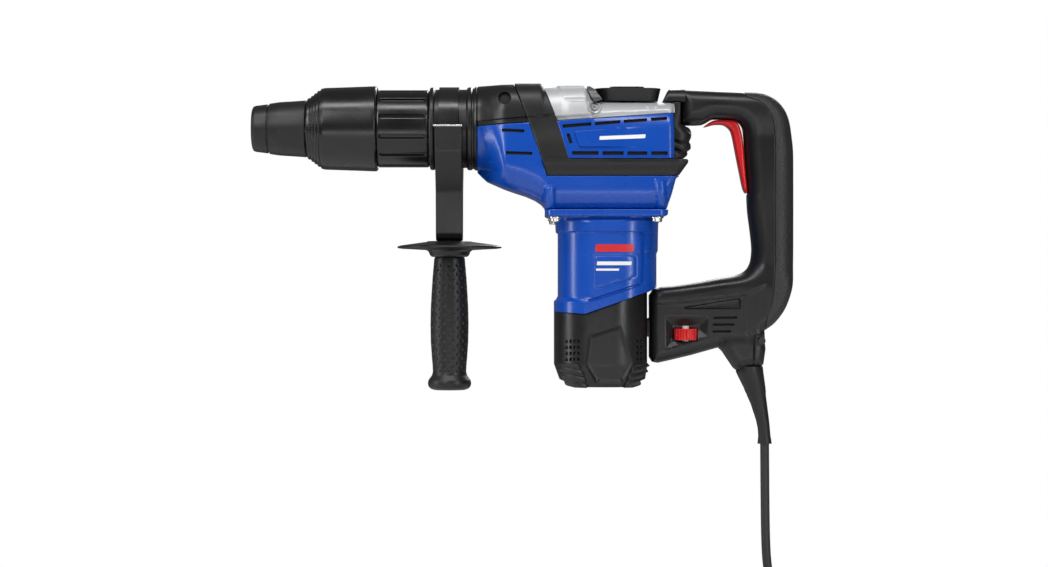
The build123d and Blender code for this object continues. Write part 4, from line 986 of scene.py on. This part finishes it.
groove_open = [(along, False) for along in strips(groove, (-1.6, -1.0, -0.45, 0.45, 1.0, 1.6))]
motor = double_sided("motor_casing", motor_outline, motor_depth, "blue", step=1.5, rings=(0.1, 0.3, 0.7, 1.3, 2.2),
                     loops=groove_open + [(plate, True)], across=14,
                     bridge=lambda m: m[0] < -184.8 or m[0] > -105.6 or m[1] > -17.6)
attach(motor, "housing")
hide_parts("motor_housing")

cap_outline2 = [(-190.08, -98.12), (-163.94, -99.97), (-100.5, -77.62), (-108.77, -81.4), (-108.77, -146.08), (-110.88, -156.64), (-130.24, -163.15), (-170.72, -163.15),
                (-185.68, -156.64), (-190.08, -144.32)]
pent = [(-161.04, -118.45), (-132.53, -109.65), (-122.67, -142.12), (-132.0, -159.72), (-154.88, -159.72), (-164.21, -143.44)]
pent_in = [(-156.99, -122.14), (-135.17, -115.63), (-126.72, -141.86), (-134.99, -156.29), (-151.89, -156.29), (-159.63, -143.44)]
vent_cells = [round_corners([(cx - 1.05, cz - 1.7), (cx + 1.05, cz - 1.7), (cx + 1.05, cz + 1.7), (cx - 1.05, cz + 1.7)], 0.3, 2)
              for cx, cz in [(-179.52 + 3.3 * i, -123.46 - 5.2 * j) for i in range(4) for j in range(4)]
              + [(-118.62 + 2.9 * i, -123.46 - 5.2 * j) for i in range(3) for j in range(4)]]


def cap_depth(p):
    x, z = p[:, 0], p[:, 1]
    grow = np.interp(z, [-163.15, -156.64, -144.32, -140.8], [-9.0, -4.0, 0, 0])
    side = np.minimum(x - -190.08 + grow * 0.5, -108.77 - x + grow * 0.2)
    y = 45.5 - quarter(np.maximum(side, 0), 34.0)
    y += grow * 0.5
    deep = signed_distance(p, pent)
    y -= 3.0 * np.clip(deep / 3.4, 0, 1)
    y -= relief_of(p, vent_cells, 2.6, 0.3)
    edge = signed_distance(p, cap_outline2)
    return np.maximum(y - quarter(np.maximum(edge, 0), 0.6), 0.5)


# the end cap vent floors are painted near-black as painted shade
cap = double_sided("motor_endcap", cap_outline2, cap_depth, "black", step=1.5, rings=(0.1, 0.3, 0.7, 1.3),
                   loops=[(pent, True), (pent_in, True)] + [(v, True) for v in vent_cells], across=14,
                   paint=[(v, "painted_shade") for v in vent_cells],
                   bridge=lambda m: m[1] < -99.44 and (m[0] < -188.32 or m[0] > -114.4 or m[1] < -140.8))
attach(cap, "housing")
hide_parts("motor_cap")



# ---------------------------------------------------------------- casting core, side details, decals
# inner core in the near-black painted-shade colour, standing in for the shaded inside seen through gaps and vents
core_outline = inset_loop([(-256.96, 98.56), (-226.16, 99.44), (-201.52, 99.44), (-188.32, 97.15), (-163.68, 97.68), (-156.64, 83.78), (-87.12, 83.25), (-87.12, 19.36), (-93.28, -8.8),
                           (-197.12, -8.8)] + BELLY[8:0:-1], 3.2)
core = double_sided("casting_core", core_outline, lambda p: np.maximum(body_depth(p) - 4.0, 0.5), "painted_shade", step=3.0,
                    rings=(0.3, 1.0, 2.2), bridge=lambda m: True)
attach(core, "housing")
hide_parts("gear_housing", "top_screws")
lathe_parts = []

neck_core = lathe("barrel_neck", [(-299.8, 24.3), (-299.8, 31.0), (-252.0, 31.0), (-252.0, 24.3)], (0, 0, AX), "X", "silver",
                  96, closed=True)
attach(neck_core, "housing")

fairing_outline = [(-161.57, 97.77), (-159.72, 98.03), (-154.88, 95.57), (-148.72, 86.42), (-154.7, 84.13), (-156.11, 84.39), (-160.86, 93.9)]
fairing = double_sided("knob_fairing", fairing_outline,
                       lambda p: 27.0 + 4.0 * ease((95.04 - p[:, 1]) / 8) - quarter(signed_distance(p, fairing_outline), 0.5),
                       "gunmetal", step=1.2, rings=(0.2, 0.5), bridge=lambda m: True, across=10)
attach(fairing, "housing")


def decal(name, quad, depth, material, body, lift=0.12, step=1.2):
    """Printed mark: a thin skin just over a panel."""
    obj = double_sided(name, quad, lambda p: depth(p) + lift, material, step=step, rings=(0.25,),
                       bridge=lambda m: False)
    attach(obj, body)
    return obj


decals = [decal("mark_stripe", round_corners([(-154.53, -39.78), (-121.44, -39.78), (-122.67, -46.11), (-155.58, -46.11)], 0.5), motor_depth, "red_print", "housing"),
          decal("mark_bar_a", round_corners([(-153.47, -54.56), (-123.55, -54.56), (-124.26, -57.73), (-154.09, -57.73)], 0.4), motor_depth, "white_print", "housing"),
          decal("mark_bar_b", round_corners([(-154.35, -60.63), (-134.64, -60.63), (-134.99, -62.48), (-154.7, -62.48)], 0.3), motor_depth, "white_print", "housing"),
          decal("mark_bar_c", round_corners([(-151.36, 53.15), (-111.76, 54.91), (-112.29, 51.57), (-151.71, 49.98)], 0.4), panel_depth, "white_print", "housing")]

# end cap ribs at the lower corners
rib_left = spline_through([(-190.08, -142.91), (-189.02, -145.55), (-185.5, -146.61), (-187.62, -151.01), (-183.57, -152.06), (-185.15, -156.46),
                           (-180.58, -157.7), (-180.4, -161.57), (-172.48, -163.68)], 5)
rib_left = np.concatenate([rib_left, [(-161.92, -163.68), (-164.56, -153.12), (-168.08, -146.08), (-170.72, -142.56)]])
rib_right = spline_through([(-108.42, -143.26), (-107.01, -145.38), (-110.0, -146.96), (-108.06, -150.48), (-112.29, -152.24), (-110.53, -156.11),
                            (-115.28, -157.7), (-114.93, -161.39), (-122.32, -163.68)], 5)
rib_right = np.concatenate([rib_right, [(-130.24, -163.68), (-125.84, -153.12), (-122.32, -146.08), (-119.68, -143.09)]])


def rib_depth(outline, flip):
    def depth(p):
        x, z = p[:, 0], p[:, 1]
        lean = (z + 0.22 * (x - (-190.08 if not flip else -109.12)) * (-1 if flip else 1))
        wave = np.abs(np.sin((lean - -143.44) / 5.4 * math.pi))
        y = cap_depth(np.stack([np.clip(x, -189.2, -109.65), np.maximum(z, -161.04)], 1)) + 0.3 + 1.7 * wave
        side = np.minimum(x - -190.08, -108.42 - x)
        y = np.maximum(y, 12.0 + 1.0 * wave)
        return y - quarter(signed_distance(p, outline), 0.9)
    return depth


ribs = [double_sided("rib_pad_front", rib_left, rib_depth(rib_left, False), "rubber", step=1.0, rings=(0.2, 0.5, 0.9),
                     bridge=lambda m: m[0] < -171.6 or m[1] < -161.92, across=14),
        double_sided("rib_pad_rear", rib_right, rib_depth(rib_right, True), "rubber", step=1.0, rings=(0.2, 0.5, 0.9),
                     bridge=lambda m: m[0] > -123.2 or m[1] < -161.92, across=14)]
for obj in ribs:
    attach(obj, "housing")
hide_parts("cap_bumper")

# lug of the end cap inside the handle, and its pin
lug_shape = np.concatenate([circle(-92.0, -112.0, 8.0, 40)[10:31][::-1] * 0 + circle(-92.0, -112.0, 8.0, 40)[0:1],
                            ]) if False else round_corners([(-112.0, -103.8), (-84.2, -103.8), (-84.2, -120.2), (-112.0, -120.2)], [0.5, 7.5, 7.5, 0.5])
lug = double_sided("pivot_lug", lug_shape, lambda p: 8.0 - quarter(signed_distance(p, lug_shape), 0.8), "black", step=2.0,
                   rings=(0.3, 0.8), bridge=lambda m: True)
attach(lug, "housing")
pin = lathe("pivot_axle", [(-13.0, 0.5), (-13.0, 3.6), (-12.6, 4.0), (12.6, 4.0), (13.0, 3.6), (13.0, 0.5)], (-92.0, 0.0, -112.0), "Y",
            "steel", 48)
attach(pin, "d_handle")
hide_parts("pivot_pin")

# flange screws with washer heads
screws = []
for sx in (-189.55, -101.9):
    for sy in (-43.0, 43.0):
        screws.append(lathe("flange_screw_%d" % len(screws), soften([(-20.6, 0.6), (-20.6, 3.8), (-19.8, 4.5), (-17.4, 4.6), (-17.2, 5.7),
                                                                   (-16.0, 5.8), (-15.8, 3.0), (-13.0, 3.0), (-13.0, 0.6)], 0.25), (sx, sy, 0.0), "Z", "zinc", 40))
for s in screws:
    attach(s, "housing")
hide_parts("motor_screws")

# ---------------------------------------------------------------- nose
cap_profile = [(-441.0, 9.62), (-451.0, 9.62), (-454.9, 12.2), (-455.0, 17.6), (-454.0, 19.6), (-452.0, 20.3), (-441.6, 21.6),
               (-441.1, 20.8), (-440.3, 20.8), (-439.9, 22.2), (-431.0, 23.5), (-418.0, 24.3), (-408.2, 25.0), (-407.3, 24.2),
               (-407.3, 19.2), (-438.0, 19.2)]
nose = lathe("nose_boot", soften(cap_profile, 0.35), (0, 0, AX), "X", "rubber", 192, closed=True)
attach(nose, "spindle")
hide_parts("dust_cap")
sleeve_profile = [(-406.6, 19.2), (-406.6, 26.0), (-405.6, 27.0), (-403.4, 27.2), (-403.0, 28.9), (-400.8, 29.3), (-400.3, 31.0), (-398.0, 31.4),
                  (-397.5, 33.2), (-395.2, 33.6), (-394.2, 35.2), (-391.0, 35.9), (-378.0, 36.3), (-350.0, 37.3), (-346.6, 37.4),
                  (-345.2, 36.6), (-345.0, 34.8), (-346.0, 34.3), (-388.0, 34.3), (-390.0, 31.0), (-390.0, 19.2)]
sleeve = lathe("pull_sleeve", soften(sleeve_profile, 0.5), (0, 0, AX), "X", "black_fine", 256, closed=True)
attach(sleeve, "locking_sleeve")
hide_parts("locking_sleeve")


def flutes(s, t, r):
    if not (-342.6 < s < -302.4) or r < 33.0:
        return 0.0
    off = abs(((t / (2 * math.pi) * 12) % 1.0) - 0.5) * 2 * math.pi * 33.9 / 12
    ends = min(1.0, (s + 342.6) / 1.4, (-302.4 - s) / 1.4)
    return -2.3 * ends * float(ease(np.array((1.9 - off) / 0.7)))


ring_stations = [(-344.9, 27.0), (-344.9, 32.8), (-344.3, 33.6), (-343.4, 33.9)] + [(-342.6 + 0.7 * i, 33.9) for i in range(58)] + [
    (-301.4, 33.9), (-300.2, 33.5), (-299.2, 32.6), (-299.2, 31.2), (-302.4, 31.2), (-302.4, 27.0)]
ring = lathe("fluted_ring", ring_stations, (0, 0, AX), "X", "black_fine", 480, closed=True, shape=flutes)
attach(ring, "housing")
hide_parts("front_ring")
neck_profile = [(-299.0, 31.1), (-299.0, 35.2), (-298.0, 36.2), (-295.8, 36.3), (-294.7, 35.6), (-294.3, 34.4), (-266.6, 34.4), (-266.2, 35.8),
                (-265.0, 36.4), (-262.6, 36.4), (-261.6, 35.4), (-260.4, 35.4), (-259.6, 36.4), (-257.9, 36.8), (-257.5, 36.4), (-257.5, 31.1)]
neck = lathe("clamp_seat", soften(neck_profile, 0.4), (0, 0, AX), "X", "black", 192, closed=True)
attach(neck, "housing")
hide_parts("neck_sleeve")

# ---------------------------------------------------------------- side handle
rod = lathe("strap_rod", [(-295.0, 0.3), (-295.0, 0.9), (-270.0, 0.9), (-270.0, 0.3)], (0, -40.9, 62.9), "X", "zinc", 24)
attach(rod, "side_clamp")
SIDE_X = -282.0
core_profile = [(-36.3, 4.2), (-36.3, 19.0), (-36.9, 20.5), (-38.2, 30.0), (-39.9, 42.0), (-40.7, 45.3), (-41.4, 45.9), (-42.4, 45.6),
                (-43.0, 42.0), (-43.6, 30.0), (-44.2, 20.4), (-45.6, 18.4), (-48.6, 17.2), (-50.0, 15.6), (-50.4, 12.0),
                (-165.8, 12.0), (-166.8, 10.0), (-166.8, 0.4), (-60.0, 0.4), (-60.0, 4.2)]
guard = lathe("guard_disc", soften(core_profile, 0.3), (SIDE_X, 0, 0), "Z", "black", 192, closed=True)
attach(guard, "side_grip")
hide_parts("side_grip_core")
grip_z = np.array([-167.0, -166.4, -165.6, -163.5, -161.0, -158.5, -156.5, -154.0, -151.0, -146.0, -138.0, -125.0, -110.0, -95.0, -80.0,
                   -68.0, -60.0, -54.0, -51.2, -50.4])
grip_r = np.array([13.5, 15.6, 17.2, 18.7, 19.1, 18.6, 17.2, 15.4, 14.7, 14.9, 15.6, 16.5, 16.8, 16.5, 15.7, 14.9, 14.2, 13.7, 13.4, 12.9])


def dimples(s, t, r):
    if not -151.0 < s < -55.0 or r < 12.5:
        return 0.0
    row = round((s + 151.0) / 3.9)
    pitch = 2 * math.pi / 12
    shift = 0.5 * pitch if row % 2 else 0.0
    dz = s + 151.0 - row * 3.9
    da = ((t - shift + pitch / 2) % pitch - pitch / 2) * r
    return -0.75 * float(ease(np.array((1.5 - math.hypot(dz, da)) / 0.7)))


stations = [(-167.0, 10.0), (-167.0, 13.5)]
zs = list(np.linspace(-166.7, -151.5, 22)) + list(np.linspace(-151.0, -55.0, 200)) + list(np.linspace(-54.5, -50.5, 8))
stations += [(z, float(np.interp(z, grip_z, grip_r))) for z in zs] + [(-50.4, 12.05), (-165.0, 12.05), (-166.0, 10.0)]
grip = lathe("side_grip_rubber", stations, (SIDE_X, 0, 0), "Z", "rubber", 220, closed=True, shape=dimples, angle=50)
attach(grip, "side_grip")
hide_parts("side_grip_sleeve")

# ---------------------------------------------------------------- handle root
arm_nose_outline = round_corners([(-94.9, 85.45), (-89.76, 96.54), (-75.68, 96.54), (-75.68, 85.18)], [0.4, 2.2, 0.3, 0.3])


def arm_nose_depth(p):
    d_top = 96.71 - p[:, 1]
    y = 18.6 - quarter(np.maximum(d_top, 0), 11.0)
    slope = signed_distance(p, arm_nose_outline)
    return y - quarter(slope, 1.6) * ease((-77.44 - p[:, 0]) / 4)


arm_nose = double_sided("arm_nose", arm_nose_outline, arm_nose_depth, "black", step=1.0, rings=(0.15, 0.4, 0.8, 1.2),
                        bridge=lambda m: m[0] < -76.12)
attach(arm_nose, "d_handle")
boot_outline = np.array([(-86.77, 84.48), (-79.9, 84.83), (-79.9, 65.47)] + list(map(tuple, spline_through(
    [(-76.56, 65.12), (-71.81, 62.83), (-69.87, 58.96), (-70.05, 54.56), (-71.81, 50.69), (-70.4, 47.87), (-70.4, 44.53), (-73.57, 42.06),
     (-73.39, 39.07), (-76.56, 36.43), (-81.84, 34.67)], 5))) + [(-86.77, 34.41)])
folds = [spline_through([(-86.24, 51.04), (-79.2, 48.93), (-71.81, 50.69)], 5), spline_through([(-85.36, 43.12), (-79.2, 41.18), (-73.57, 42.06)], 5)]


def boot_depth(p):
    x, z = p[:, 0], p[:, 1]
    d = signed_distance(p, boot_outline)
    right = np.maximum(np.interp(z, [35.2, 44.0, 57.2, 65.12, 84.48], [-75.68, -70.4, -69.96, -75.68, -70.4]) - x, 0)
    y = 19.6 - quarter(right, 12.0)
    for fold in folds:
        y -= 2.2 * np.exp(-(line_distance(p, fold) / 1.5) ** 2)
    return np.maximum(y - quarter(d, 1.0), 1.0)


damper = double_sided("damper_boot", boot_outline, boot_depth, "rubber", step=1.1, rings=(0.2, 0.5, 1.0), loops=[(f, False) for f in folds],
                      bridge=lambda m: True)
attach(damper, "housing")
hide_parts("bellows")
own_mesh(damper)



# ---------------------------------------------------------------- stage and light
def stage_plane(name, corners, color):
    mesh = bpy.data.meshes.new(name)
    mesh.from_pydata(corners, [], [tuple(range(len(corners)))])
    obj = bpy.data.objects.new(name, mesh)
    SCENE.collection.objects.link(obj)
    m, nodes, links = new_material(name)
    out = nodes.new("ShaderNodeOutputMaterial")
    bsdf = nodes.new("ShaderNodeBsdfDiffuse")
    bsdf.inputs["Color"].default_value = (*color, 1)
    links.new(bsdf.outputs[0], out.inputs[0])
    mesh.materials.append(m)
    return obj


stage_plane("floor", [(-1.6, -1.6, FLOOR), (1.2, -1.6, FLOOR), (1.2, 0.36, FLOOR), (-1.6, 0.36, FLOOR)], (0.85, 0.85, 0.85))

SCENE.view_settings.view_transform = "Standard"
world = bpy.data.worlds.new("world")
SCENE.world = world
world.use_nodes = True
tree = world.node_tree
seen = tree.nodes.new("ShaderNodeLightPath")
level = tree.nodes.new("ShaderNodeMapRange")
level.inputs["To Min"].default_value = 0.12
level.inputs["To Max"].default_value = 1.0
tree.links.new(seen.outputs["Is Camera Ray"], level.inputs["Value"])
tree.links.new(level.outputs[0], tree.nodes["Background"].inputs[1])
tree.nodes["Background"].inputs[0].default_value = (1, 1, 1, 1)


def area_light(name, location, target, size, power, color=(1, 1, 1)):
    data = bpy.data.lights.new(name, "AREA")
    data.shape = "RECTANGLE"
    data.size, data.size_y = size
    data.energy = power
    data.color = color
    obj = bpy.data.objects.new(name, data)
    SCENE.collection.objects.link(obj)
    obj.location = location
    obj.rotation_euler = (Vector(target) - Vector(location)).to_track_quat("-Z", "Y").to_euler()
    return obj


area_light("key", (-0.95, -1.4, 0.95), (-0.22, 0, 0.02), (0.3, 1.0), 11)
area_light("overhead", (-0.25, -0.6, 1.3), (-0.2, 0, 0.05), (1.7, 0.22), 13)
area_light("right_strip", (0.8, -1.1, 0.3), (-0.1, 0, -0.03), (0.12, 1.3), 7)
area_light("left_edge", (-1.3, -0.25, 0.1), (-0.25, 0, 0.0), (0.2, 1.2), 5)
area_light("low_fill", (-0.2, -1.5, -0.3), (-0.2, 0, -0.1), (1.2, 0.12), 2)
area_light("back_key", (0.3, 1.5, 0.8), (-0.2, 0, 0.0), (0.8, 0.9), 14)
